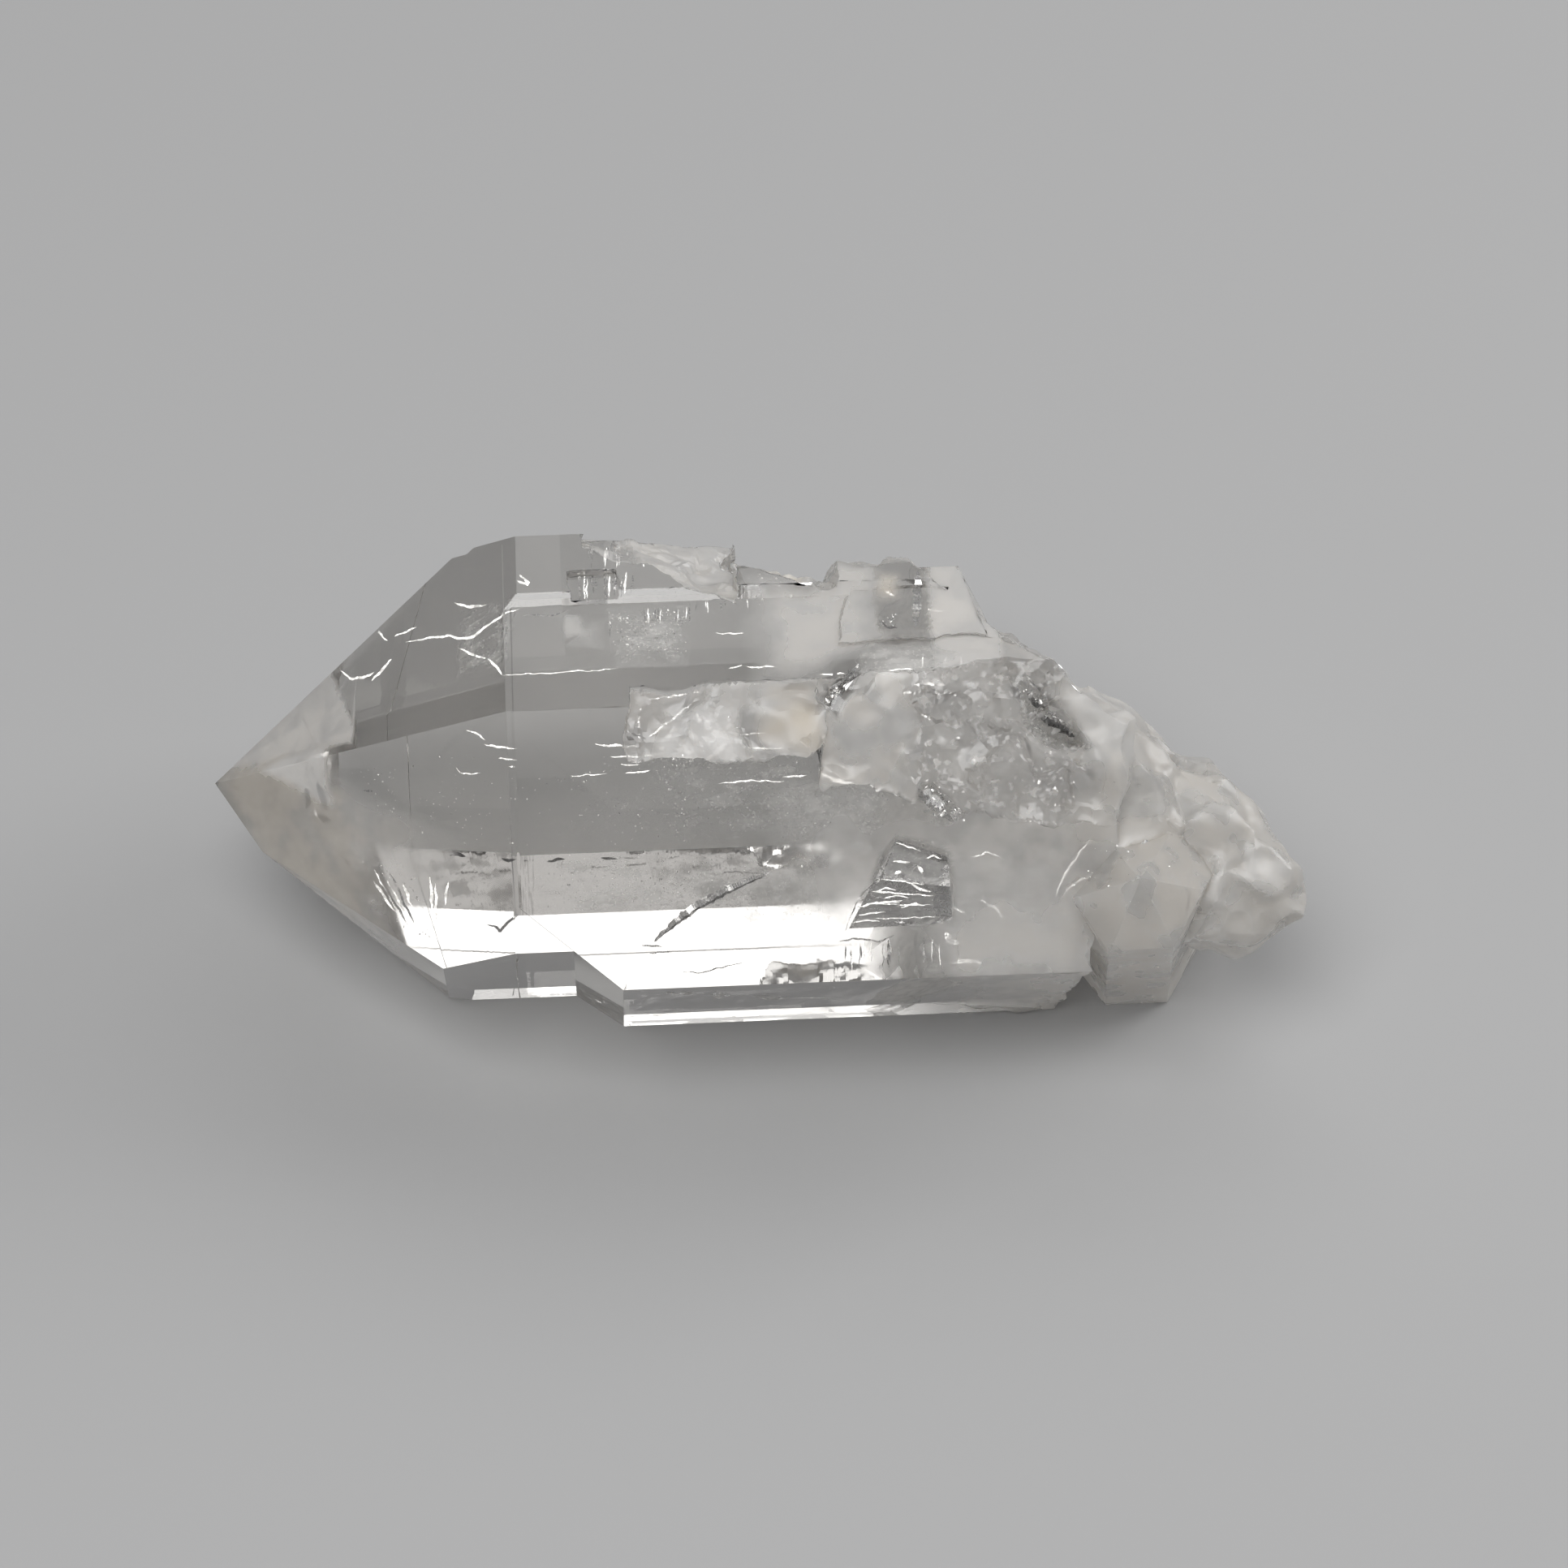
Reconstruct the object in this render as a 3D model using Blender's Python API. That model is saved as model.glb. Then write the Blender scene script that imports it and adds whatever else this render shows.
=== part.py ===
"""Himalayan quartz crystal lying on one of its prism faces, as one solid.

Two parallel crystals have grown into one another. The first carries the tip,
and the second is a little thicker and runs on to the broken root. A thin slab
is raised along the back of the top face, and part of it is etched away. The
right half is broken along uneven fracture surfaces, and a small side crystal
stands against the root's front.

The shapes are worked out in millimetres: X runs along the c axis from the tip
to the root, Y goes from the front to the back and is 0 at the tip, and Z is
the height over the face that it rests on. The meshes are then made in metres,
and an empty carries them all, so that the origin is at the bottom centre of
the finished crystal's box.
"""
import math

import bmesh
import bpy
from mathutils import Matrix, Vector, noise

MM = 0.001
NAME = "quartz_crystal"

# Height of the tip over the floor, and the size of the uncut blanks
TIP_HEIGHT = 12.5
BLANK_SIZE = 200.0

# Quartz: prism faces are 60 degrees apart, and the normal of a tip face is
# this far from the c axis
TIP_FACE_ANGLE = math.radians(51.8)
FACE_TURN = {
    "top": 90, "front_upper": 150, "front_lower": 210,
    "bottom": 270, "back_lower": 330, "back_upper": 30,
}

# Distance of each prism face from the tip's axis
FIRST_SIDES = {
    "top": 15.0, "front_upper": 14.95, "front_lower": 13.6,
    "bottom": 12.45, "back_lower": 13.44, "back_upper": 12.44,
}
SECOND_SIDES = {
    "top": 15.07, "front_upper": 15.1, "front_lower": 15.95,
    "bottom": 12.5, "back_lower": 13.5, "back_upper": 12.5,
}
SLAB_SIDES = {
    "top": 15.65, "front_upper": 14.0, "front_lower": 10.0,
    "bottom": 6.0, "back_lower": 11.0, "back_upper": 12.8,
}

# How far each tip face lies outside the tip point, where it isn't through it
FIRST_TIPS = {"front_lower": 1.8, "back_lower": 2.4}
SECOND_TIPS = {
    "top": -0.25, "front_upper": -0.22, "front_lower": -3.3,
    "bottom": -1.6, "back_lower": -1.0, "back_upper": -1.1,
}
SLAB_TIPS = {
    "top": -0.02, "front_upper": -1.5, "front_lower": -4.0,
    "bottom": -3.0, "back_lower": -2.0, "back_upper": -0.6,
}
FIRST_LENGTH = 26.0
SECOND_LENGTH = 60.0
SLAB_LENGTH = 50.0

# The slab's front riser: where its foot crosses the top face, and its slope
RISER_Y = 0.1
RISER_SLOPE = math.radians(42)

# Etched pit in the slab, as two corners of its box
PIT_LOW = Vector((23.3, -0.6, 27.75))
PIT_HIGH = Vector((26.3, 2.5, 29.0))

# Broken block that is left standing at the back of the top face
BLOCK_LOW = Vector((39.4, -4.0, 14.0))
BLOCK_HIGH = Vector((49.3, 2.1, 27.75))
BLOCK_BEVELS = (
    ((41.1, 2.0, 27.7), (-0.75, 0.2, 0.63)),
    ((48.4, 2.0, 27.7), (0.62, 0.35, 0.7)),
    ((49.1, 0.0, 25.0), (0.9, 0.2, 0.35)),
)

# Side crystal against the root's front: its tip, how it leans to the front
# and to the left, its turn about its own axis, and its faces' distances
SIDE_TIP = Vector((57.5, -17.8, 20.2))
SIDE_LEAN = math.radians(28)
SIDE_TILT = math.radians(-4)
SIDE_TURN = math.radians(30)
SIDE_SIDES = {
    "front_upper": 3.5, "front_lower": 3.6, "top": 3.4,
    "bottom": 5.1, "back_lower": 4.0, "back_upper": 5.0,
}
SIDE_LENGTH = 26.0

# Root lump: centre (X, Y, Z) and half sizes (Y, Z) of its rings
ROOT_RINGS = (
    (50.0, -6.5, 13.0, 8.4, 9.6),
    (53.4, -7.0, 13.2, 8.2, 9.4),
    (56.1, -7.3, 13.6, 7.8, 8.8),
    (58.9, -7.6, 12.9, 7.2, 7.7),
    (61.1, -8.3, 12.0, 6.2, 6.3),
    (63.3, -9.5, 12.0, 6.2, 6.2),
    (65.4, -10.5, 11.7, 5.2, 5.3),
    (67.1, -11.1, 11.2, 3.7, 3.7),
    (68.2, -11.6, 11.0, 2.2, 2.2),
    (68.9, -11.7, 11.1, 0.8, 0.7),
)
ROOT_SIDES = 22
ROOT_ROUGHNESS = 0.5
ROOT_SEED = 2

# Fracture surfaces: a point, the outward normal, the half sizes along and
# across, the height of the roughness, and the seed of its noise
FRACTURES = {
    "edge_pit": ((32.4, -8.7, 26.15), (0.03, -0.656, 0.755), (6.1, 3.2), 0.35, 4),
    "front_break": ((48.2, -8.9, 24.8), (0.05, -0.72, 0.69), (9.9, 8.0), 0.35, 3),
    "back_hollow": ((28.7, 4.5, 26.8), (0.25, 0.40, 0.86), (4.9, 6.3), 0.28, 14),
    "back_step": ((36.4, 6.75, 22.2), (0.27, 0.7, 0.65), (3.3, 9.5), 0.4, 9),
    "back_break": ((48.6, 7.9, 21.6), (0.0, 0.75, 0.66), (10.0, 10.5), 0.5, 5),
    "back_slope": ((49.5, 3.0, 20.9), (0.634, 0.573, 0.519), (17.0, 24.0), 0.7, 8),
    "root_break": ((53.7, -10.9, 0.0), (0.97, -0.15, -0.15), (30.0, 34.0), 0.5, 11),
}
FRACTURE_CELL = 0.95
FRACTURE_DEPTH = 40.0

# Milky clear quartz
COLOUR = (0.76, 0.74, 0.71, 1.0)
ROUGHNESS = 0.08
QUARTZ_IOR = 1.544


def face_normal(face):
    """Outward normal of a prism face."""
    turn = math.radians(FACE_TURN[face])
    return Vector((0, math.cos(turn), math.sin(turn)))


def tip_normal(face):
    """Outward normal of the tip face over a prism face."""
    along = Vector((-math.cos(TIP_FACE_ANGLE), 0, 0))
    return along + face_normal(face) * math.sin(TIP_FACE_ANGLE)


def cut_off(bm, point, normal):
    """Cut away what lies outside a plane, and close the cut."""
    geometry = bm.verts[:] + bm.edges[:] + bm.faces[:]
    bmesh.ops.bisect_plane(
        bm, geom=geometry, dist=1e-4, plane_co=point, plane_no=normal,
        clear_outer=True)
    open_edges = [edge for edge in bm.edges if edge.is_boundary]
    bmesh.ops.holes_fill(bm, edges=open_edges, sides=0)


def box_blank(low, high):
    """A box between two corners."""
    bm = bmesh.new()
    bmesh.ops.create_cube(bm, size=1.0)
    bmesh.ops.scale(bm, vec=high - low, verts=bm.verts)
    bmesh.ops.translate(bm, vec=(high + low) / 2, verts=bm.verts)
    return bm


def crystal_blank(sides, tips, length):
    """A quartz crystal with its tip at the origin and its body along +X."""
    bm = bmesh.new()
    bmesh.ops.create_cube(bm, size=BLANK_SIZE)
    for face, distance in sides.items():
        normal = face_normal(face)
        cut_off(bm, normal * distance, normal)
    for face in sides:
        normal = tip_normal(face)
        cut_off(bm, normal * tips.get(face, 0.0), normal)
    cut_off(bm, Vector((length, 0, 0)), Vector((1, 0, 0)))
    return bm


def lying_crystal(sides, tips, length):
    """A crystal along X whose tip is at the main tip's height."""
    bm = crystal_blank(sides, tips, length)
    bmesh.ops.translate(bm, verts=bm.verts, vec=(0, 0, TIP_HEIGHT))
    return bm


def raised_slab():
    """The growth slab along the back half of the top face."""
    bm = lying_crystal(SLAB_SIDES, SLAB_TIPS, SLAB_LENGTH)
    foot = Vector((0, RISER_Y, TIP_HEIGHT + SECOND_SIDES["top"]))
    slope = Vector((0, -math.sin(RISER_SLOPE), math.cos(RISER_SLOPE)))
    cut_off(bm, foot, slope)
    return bm


def broken_block():
    """The block at the back of the top face, with broken upper edges."""
    bm = box_blank(BLOCK_LOW, BLOCK_HIGH)
    for point, normal in BLOCK_BEVELS:
        cut_off(bm, Vector(point), Vector(normal))
    return bm


def side_crystal():
    """The small crystal that stands against the root and leans forward."""
    bm = crystal_blank(SIDE_SIDES, {}, SIDE_LENGTH)
    turn = Matrix.Rotation(SIDE_TURN, 4, "X")
    stand_up = Matrix.Rotation(math.radians(90), 4, "Y")
    tilt = Matrix.Rotation(SIDE_TILT, 4, "Y")
    lean = Matrix.Rotation(SIDE_LEAN, 4, "X")
    place = Matrix.Translation(SIDE_TIP) @ lean @ tilt @ stand_up @ turn
    bmesh.ops.transform(bm, matrix=place, verts=bm.verts)
    cut_off(bm, Vector((0, 0, 0)), Vector((0, 0, -1)))
    return bm


def roughness_at(point, seed):
    """Uneven height of broken quartz, from about -1 to 1."""
    shift = Vector((7.3, 3.1, 5.7)) * seed
    broad = noise.noise(point * 0.16 + shift)
    middle = noise.noise(point * 0.42 + shift)
    fine = noise.noise(point * 1.1 + shift)
    return broad + 0.55 * middle + 0.3 * fine


def root_lump():
    """The broken root, lofted through its rings and made uneven."""
    bm = bmesh.new()
    loops = []
    for x, y, z, half_y, half_z in ROOT_RINGS:
        loop = []
        for step in range(ROOT_SIDES):
            turn = 2 * math.pi * step / ROOT_SIDES
            point = (x, y + half_y * math.cos(turn), z + half_z * math.sin(turn))
            loop.append(bm.verts.new(point))
        loops.append(loop)
    for near, far in zip(loops, loops[1:]):
        for step in range(ROOT_SIDES):
            after = (step + 1) % ROOT_SIDES
            bm.faces.new((near[step], near[after], far[after], far[step]))
    bm.faces.new(loops[0])
    bm.faces.new(loops[-1])
    bmesh.ops.recalc_face_normals(bm, faces=bm.faces)
    bm.normal_update()
    for vert in bm.verts:
        height = ROOT_ROUGHNESS * roughness_at(vert.co, ROOT_SEED)
        vert.co += vert.normal * height
    return bm


def fracture(point, normal, half_sizes, roughness, seed):
    """A closed cutter whose near side is an uneven surface."""
    bm = bmesh.new()
    half_along, half_across = half_sizes
    bmesh.ops.create_grid(
        bm, x_segments=round(2 * half_along / FRACTURE_CELL),
        y_segments=round(2 * half_across / FRACTURE_CELL), size=1.0)
    bmesh.ops.scale(bm, vec=(half_along, half_across, 1), verts=bm.verts)
    up = Vector(normal).normalized()
    x_axis = Vector((1, 0, 0))
    along = (x_axis - up * x_axis.dot(up)).normalized()
    turn = Matrix((along, up.cross(along), up)).transposed().to_4x4()
    place = Matrix.Translation(point) @ turn
    bmesh.ops.transform(bm, matrix=place, verts=bm.verts)
    for vert in bm.verts:
        vert.co += up * roughness * roughness_at(vert.co, seed)
    made = bmesh.ops.extrude_face_region(bm, geom=bm.faces[:])
    far = [item for item in made["geom"] if isinstance(item, bmesh.types.BMVert)]
    bmesh.ops.translate(bm, vec=up * FRACTURE_DEPTH, verts=far)
    return bm


def new_collection(name):
    """A collection in the scene, made again if it is there already."""
    old = bpy.data.collections.get(name)
    if old:
        bpy.data.collections.remove(old)
    made = bpy.data.collections.new(name)
    bpy.context.scene.collection.children.link(made)
    return made


def add_object(name, bm, collection, parent):
    """Make a mesh object, in metres, of a bmesh in millimetres."""
    bmesh.ops.recalc_face_normals(bm, faces=bm.faces)
    bmesh.ops.scale(bm, vec=(MM, MM, MM), verts=bm.verts)
    mesh = bpy.data.meshes.new(name)
    bm.to_mesh(mesh)
    bm.free()
    made = bpy.data.objects.new(name, mesh)
    made.parent = parent
    collection.objects.link(made)
    return made


def quartz():
    """Material of the crystal."""
    made = bpy.data.materials.new("milky_quartz")
    made.use_nodes = True
    shader = made.node_tree.nodes["Principled BSDF"]
    shader.inputs["Base Color"].default_value = COLOUR
    shader.inputs["Roughness"].default_value = ROUGHNESS
    shader.inputs["Metallic"].default_value = 0.0
    shader.inputs["IOR"].default_value = QUARTZ_IOR
    shader.inputs["Transmission Weight"].default_value = 1.0
    return made


def put_at_bottom_centre(empty, body):
    """Move the empty so that the origin is under the middle of the body."""
    bpy.context.view_layer.update()
    graph = bpy.context.evaluated_depsgraph_get()
    finished = body.evaluated_get(graph)
    corners = [Vector(corner) for corner in finished.bound_box]
    low = [min(corner[axis] for corner in corners) for axis in range(3)]
    high = [max(corner[axis] for corner in corners) for axis in range(3)]
    middle_x = (low[0] + high[0]) / 2
    middle_y = (low[1] + high[1]) / 2
    empty.location = (-middle_x, -middle_y, -low[2])
    bpy.context.view_layer.update()


def main():
    for old in list(bpy.data.objects):
        bpy.data.objects.remove(old)
    parts = new_collection(NAME)
    cutters = new_collection("cutters")
    carrier = bpy.data.objects.new("carrier", None)
    parts.objects.link(carrier)

    second = lying_crystal(SECOND_SIDES, SECOND_TIPS, SECOND_LENGTH)
    body = add_object(NAME, second, parts, carrier)
    body.data.materials.append(quartz())

    steps = [("raised_slab", "UNION", raised_slab())]
    for name, values in FRACTURES.items():
        steps.append((name, "DIFFERENCE", fracture(*values)))
    first = lying_crystal(FIRST_SIDES, FIRST_TIPS, FIRST_LENGTH)
    steps.append(("first_crystal", "UNION", first))
    steps.append(("etched_pit", "DIFFERENCE", box_blank(PIT_LOW, PIT_HIGH)))
    steps.append(("broken_block", "UNION", broken_block()))
    steps.append(("root_lump", "UNION", root_lump()))
    steps.append(("side_crystal", "UNION", side_crystal()))
    for name, operation, bm in steps:
        tool = add_object(name, bm, cutters, carrier)
        tool.hide_render = True
        tool.display_type = "WIRE"
        modifier = body.modifiers.new(name, "BOOLEAN")
        modifier.operation = operation
        modifier.solver = "EXACT"
        modifier.object = tool
    put_at_bottom_centre(carrier, body)


main()
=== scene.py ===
"""Looks of the himalayan quartz crystal: its clear growth faces, the milky
broken root, the veils and cracks inside it, and the plain stage it lies on.

Lengths in this script are millimetres unless a name ends in _M. Places on the
crystal are given from the tip: X along the c axis to the root, Y from the
front to the back, and Z the height over the floor.
"""
import math
from functools import lru_cache
from random import Random

import bmesh
import bpy
from mathutils import Euler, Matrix, Quaternion, Vector, kdtree, noise
from mathutils.bvhtree import BVHTree


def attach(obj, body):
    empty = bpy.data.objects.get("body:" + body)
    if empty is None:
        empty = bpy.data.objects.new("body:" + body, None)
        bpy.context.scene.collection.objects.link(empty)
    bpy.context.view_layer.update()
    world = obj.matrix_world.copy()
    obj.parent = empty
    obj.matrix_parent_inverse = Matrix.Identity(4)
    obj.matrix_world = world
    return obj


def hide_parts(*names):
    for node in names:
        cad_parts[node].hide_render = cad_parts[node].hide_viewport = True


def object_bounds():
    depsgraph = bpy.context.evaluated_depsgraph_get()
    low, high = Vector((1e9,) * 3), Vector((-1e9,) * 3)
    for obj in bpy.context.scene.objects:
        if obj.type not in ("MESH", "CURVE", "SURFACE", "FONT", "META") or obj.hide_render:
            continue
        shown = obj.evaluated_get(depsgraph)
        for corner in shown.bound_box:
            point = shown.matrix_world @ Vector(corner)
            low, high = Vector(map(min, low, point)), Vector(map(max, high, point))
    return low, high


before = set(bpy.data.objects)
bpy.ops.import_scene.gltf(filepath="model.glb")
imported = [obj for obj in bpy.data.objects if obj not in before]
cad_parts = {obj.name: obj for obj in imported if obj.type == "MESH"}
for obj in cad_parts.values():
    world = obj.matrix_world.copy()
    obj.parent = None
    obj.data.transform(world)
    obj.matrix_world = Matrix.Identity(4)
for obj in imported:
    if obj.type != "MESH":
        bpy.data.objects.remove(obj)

bl_info = {
    "name": "Quartz Crystal",
    "version": (1, 0, 0),
    "blender": (4, 5, 0),
    "location": "View3D > Sidebar > Quartz",
    "description": "Dresses a quartz crystal and sets its stage",
    "category": "Object",
}

MM = 0.001
BODY = "root"
NODE = "quartz_crystal"
CAD_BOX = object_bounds()

# The tip of the crystal, seen from the frame's origin
TIP_X = CAD_BOX[0].x / MM
TIP_Y = 1.93
TIP_ORIGIN = Vector((TIP_X, TIP_Y, 0.0))

# Camera of the photograph, round the point on the floor that it looks at
CAMERA_TARGET = Vector((2.52, 11.29, 0.0))
CAMERA_DISTANCE = 360.0
CAMERA_AZIMUTH = math.radians(-2.98)
CAMERA_ELEVATION = math.radians(47.83)
CAMERA_LENS = 122.8
CAMERA_CLIP = (0.01, 20.0)

# The photograph's frame: its middle, and pixels for a slope of one
FRAME_MIDDLE = 966.0
FRAME_SCALE = CAMERA_LENS / 36.0 * 2 * FRAME_MIDDLE


def upright(left, top, right, bottom):
    """The corners of an upright rectangle in the photograph's frame."""
    return (left, top), (right, top), (right, bottom), (left, bottom)


# Bright healed cracks: the line in the photograph's frame, width in its
# pixels, and depth in millimetres below the surface
BRIGHT_CRACKS = (
    ((597, 917), (634, 923), 4.0, 0.4),
    ((614, 934), (635, 936), 3.0, 0.4),
    ((627, 945), (636, 946), 2.5, 0.4),
    ((574, 900), (592, 905), (598, 912), 3.5, 0.5),
    ((562, 945), (570, 953), (592, 953), 2.0, 0.4),
    ((733, 917), (760, 919), (785, 919), 4.5, 0.4),
    ((752, 932), (790, 933), 3.5, 0.4),
    ((788, 933), (828, 926), 2.0, 0.4),
    ((765, 943), (788, 942), 3.0, 0.4),
    ((770, 953), (801, 949), 3.5, 0.4),
    ((703, 956), (748, 954), 2.0, 0.5),
    ((885, 966), (920, 962), (966, 963), 3.0, 0.4),
    ((964, 957), (994, 955), 3.5, 0.4),
    ((908, 922), (967, 922), 3.0, 0.3),
    ((912, 905), (944, 904), 2.5, 0.3),
    ((1095, 826), (1126, 825), 4.5, 0.4),
    ((1127, 843), (1166, 844), 8.0, 0.3),
    ((1010, 831), (1041, 830), 3.5, 0.4),
    ((898, 824), (915, 820), 3.0, 0.4),
    ((920, 821), (955, 822), 3.5, 0.4),
    ((620, 832), (690, 829), (762, 824), 2.0, 0.6),
    ((882, 781), (916, 780), 2.5, 0.4),
    ((798, 861), (830, 858), (864, 852), 3.5, 0.25),
    ((800, 908), (826, 888), (853, 867), 5.0, 0.3),
    ((448, 790), (464, 778), (478, 789), 5.0, 0.3),
    ((486, 784), (513, 773), 4.0, 0.3),
    ((500, 791), (550, 783), (566, 787), (582, 785), (600, 770), (622, 756), (640, 750),
     5.0, 0.4),
    ((560, 742), (578, 748), (600, 745), 6.0, 0.4),
    ((566, 800), (584, 806), (598, 812), 5.0, 0.4),
    ((600, 812), (612, 822), (618, 832), 5.0, 0.4),
    ((1090, 728), (1096, 731), (1102, 733), 5.0, 0.3),
    ((1163, 1150), (1172, 1158), (1182, 1162), 17.0, 0.3),
    ((1172, 1186), (1190, 1184), (1210, 1186), 9.0, 0.3),
    ((419, 826), (432, 836), (446, 836), (461, 828), 5.0, 0.4),
    ((458, 839), (470, 826), (483, 813), 5.5, 0.4),
    ((636, 714), (652, 720), (640, 708), 6.0, 0.3),
    ((385, 995), (391, 1007), 4.0, 0.3),
    ((388, 932), (405, 928), 9.0, 0.3),
    ((1056, 1118), (1080, 1113), (1112, 1110), 4.5, 0.15),
    ((1058, 1128), (1076, 1125), (1092, 1124), 3.5, 0.15),
    ((1050, 1137), (1066, 1134), (1084, 1135), 3.5, 0.15),
    ((1100, 1062), (1110, 1061), (1122, 1063), 4.5, 0.15),
    ((1121, 1087), (1133, 1096), (1148, 1098), 5.5, 0.15),
    ((1102, 1077), (1106, 1074), (1111, 1074), 7.0, 0.15),
    ((1130, 1066), (1134, 1071), (1136, 1078), 7.0, 0.15),
    ((1078, 1098), (1092, 1094), (1104, 1096), 3.0, 0.15),
    ((1110, 1118), (1128, 1113), (1140, 1116), 3.5, 0.15),
    ((1140, 1058), (1150, 1055), (1160, 1058), 3.5, 0.15),
    ((1088, 1108), (1104, 1104), (1120, 1106), 3.0, 0.15),
    ((1127, 876), (1150, 888), 5.0, 0.4),
    ((1012, 953), (1030, 962), (1052, 965), 9.0, 0.3),
    ((1206, 1108), (1226, 1118), (1236, 1132), 6.0, 0.04),
    ((1174, 1118), (1190, 1124), 4.0, 0.04),
    ((1198, 1056), (1216, 1050), (1232, 1056), 4.0, 0.04),
    ((1301, 1104), (1312, 1078), (1345, 1032), 6.0, 0.03),
    ((1313, 1098), (1335, 1082), (1365, 1078), 6.0, 0.03),
    ((1358, 1068), (1372, 1062), (1392, 1066), 9.0, 0.02),
    ((1366, 1042), (1390, 1041), 5.0, 0.02),
    ((1404, 1043), (1414, 1036), (1420, 1042), 8.0, 0.02),
    ((1474, 1110), (1482, 1098), (1498, 1102), 13.0, 0.02),
    ((1455, 1160), (1462, 1146), 6.0, 0.02),
    ((1143, 750), (1163, 753), 3.0, 0.3),
)

# Strewn flakes: the patch in the photograph's frame, how many, their radii and
# their depths in millimetres
FLAKES = (
    (((825, 885), (915, 872), (915, 935), (820, 950)), 320, (0.05, 0.15), (0.0, 0.3)),
    (((800, 930), (860, 930), (850, 1040), (770, 1040)), 60, (0.04, 0.13), (0.3, 1.5)),
    (((420, 930), (640, 930), (640, 1045), (450, 1045)), 110, (0.04, 0.10), (0.2, 3.0)),
    (((640, 930), (1000, 930), (1000, 1040), (640, 1045)), 150, (0.04, 0.11), (0.2, 3.0)),
    (upright(1125, 850, 1330, 1050), 260, (0.03, 0.16), (0.1, 2.5)),
    (((1170, 1030), (1340, 1030), (1330, 1150), (1180, 1150)), 110, (0.04, 0.13), (0.02, 0.12)),
    (((960, 990), (1120, 980), (1060, 1090), (960, 1100)), 90, (0.04, 0.12), (0.02, 0.3)),
    (((1340, 1040), (1400, 1035), (1395, 1085), (1310, 1110)), 60, (0.06, 0.18), (0.0, 0.1)),
    (((900, 700), (985, 715), (985, 745), (930, 745)), 50, (0.04, 0.14), (0.1, 0.5)),
    (((745, 755), (850, 750), (845, 815), (760, 815)), 230, (0.05, 0.17), (0.1, 0.8)),
    (((640, 1050), (980, 1050), (980, 1110), (640, 1100)), 70, (0.03, 0.10), (0.2, 1.2)),
    (((450, 1060), (520, 1080), (530, 1160), (490, 1140)), 60, (0.04, 0.14), (0.2, 1.0)),
    (((1330, 930), (1540, 930), (1560, 1090), (1330, 1080)), 50, (0.04, 0.10), (0.0, 0.03)),
    (((1345, 1085), (1470, 1090), (1465, 1205), (1345, 1195)), 26, (0.04, 0.10), (0.0, 0.03)),
)

# The same for flakes that look dark
DARK_FLAKES = (
    (((1082, 755), (1104, 757), (1104, 776), (1083, 776)), 50, (0.06, 0.14), (0.3, 0.5)),
    (((1140, 960), (1160, 970), (1200, 1020), (1135, 1000)), 60, (0.08, 0.24), (0.3, 0.8)),
    (((1170, 890), (1200, 895), (1200, 940), (1180, 930)), 30, (0.05, 0.20), (0.3, 0.8)),
    (((1265, 935), (1330, 950), (1320, 1000), (1260, 990)), 60, (0.06, 0.22), (0.3, 1.0)),
    (((1250, 840), (1265, 850), (1335, 905), (1320, 910)), 120, (0.08, 0.24), (0.2, 0.5)),
    (((1200, 870), (1330, 900), (1320, 1030), (1180, 1030)), 60, (0.03, 0.12), (0.2, 1.5)),
    (((380, 965), (410, 968), (412, 1012), (385, 1000)), 14, (0.05, 0.20), (0.2, 0.5)),
)

# Combs of fine lines from a patch's upper side to its lower one: how many are
# bright and how many dark, their width in pixels and depth in millimetres
COMBS = (
    (((724, 664), (802, 668), (800, 703), (722, 700)), 7, 9, 2.2, 0.2),
    (((712, 700), (790, 706), (786, 744), (714, 742)), 4, 14, 3.6, 0.2),
    (((760, 748), (850, 742), (850, 772), (760, 775)), 5, 6, 2.4, 0.2),
    (((850, 738), (935, 735), (935, 752), (850, 756)), 4, 4, 2.4, 0.2),
    (((1040, 1160), (1182, 1152), (1182, 1196), (1040, 1200)), 5, 12, 3.0, 0.2),
    (((1100, 1034), (1052, 1138), (1160, 1134), (1160, 1056)), 7, 0, 2.4, 0.15),
    (((446, 1066), (560, 1070), (545, 1150), (505, 1150)), 9, 2, 5.0, 0.3),
    (((1135, 800), (1230, 806), (1225, 846), (1130, 846)), 3, 2, 2.4, 0.2),
)

# Plates: the patch, how many bands it is parted in, and the depth in millimetres
PLATES = (
    (((1104, 1034), (1168, 1056), (1174, 1138), (1046, 1144)), 9, 0.9),
    (((1012, 868), (1044, 824), (1058, 826), (1020, 882)), 4, 0.3),
)

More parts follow.
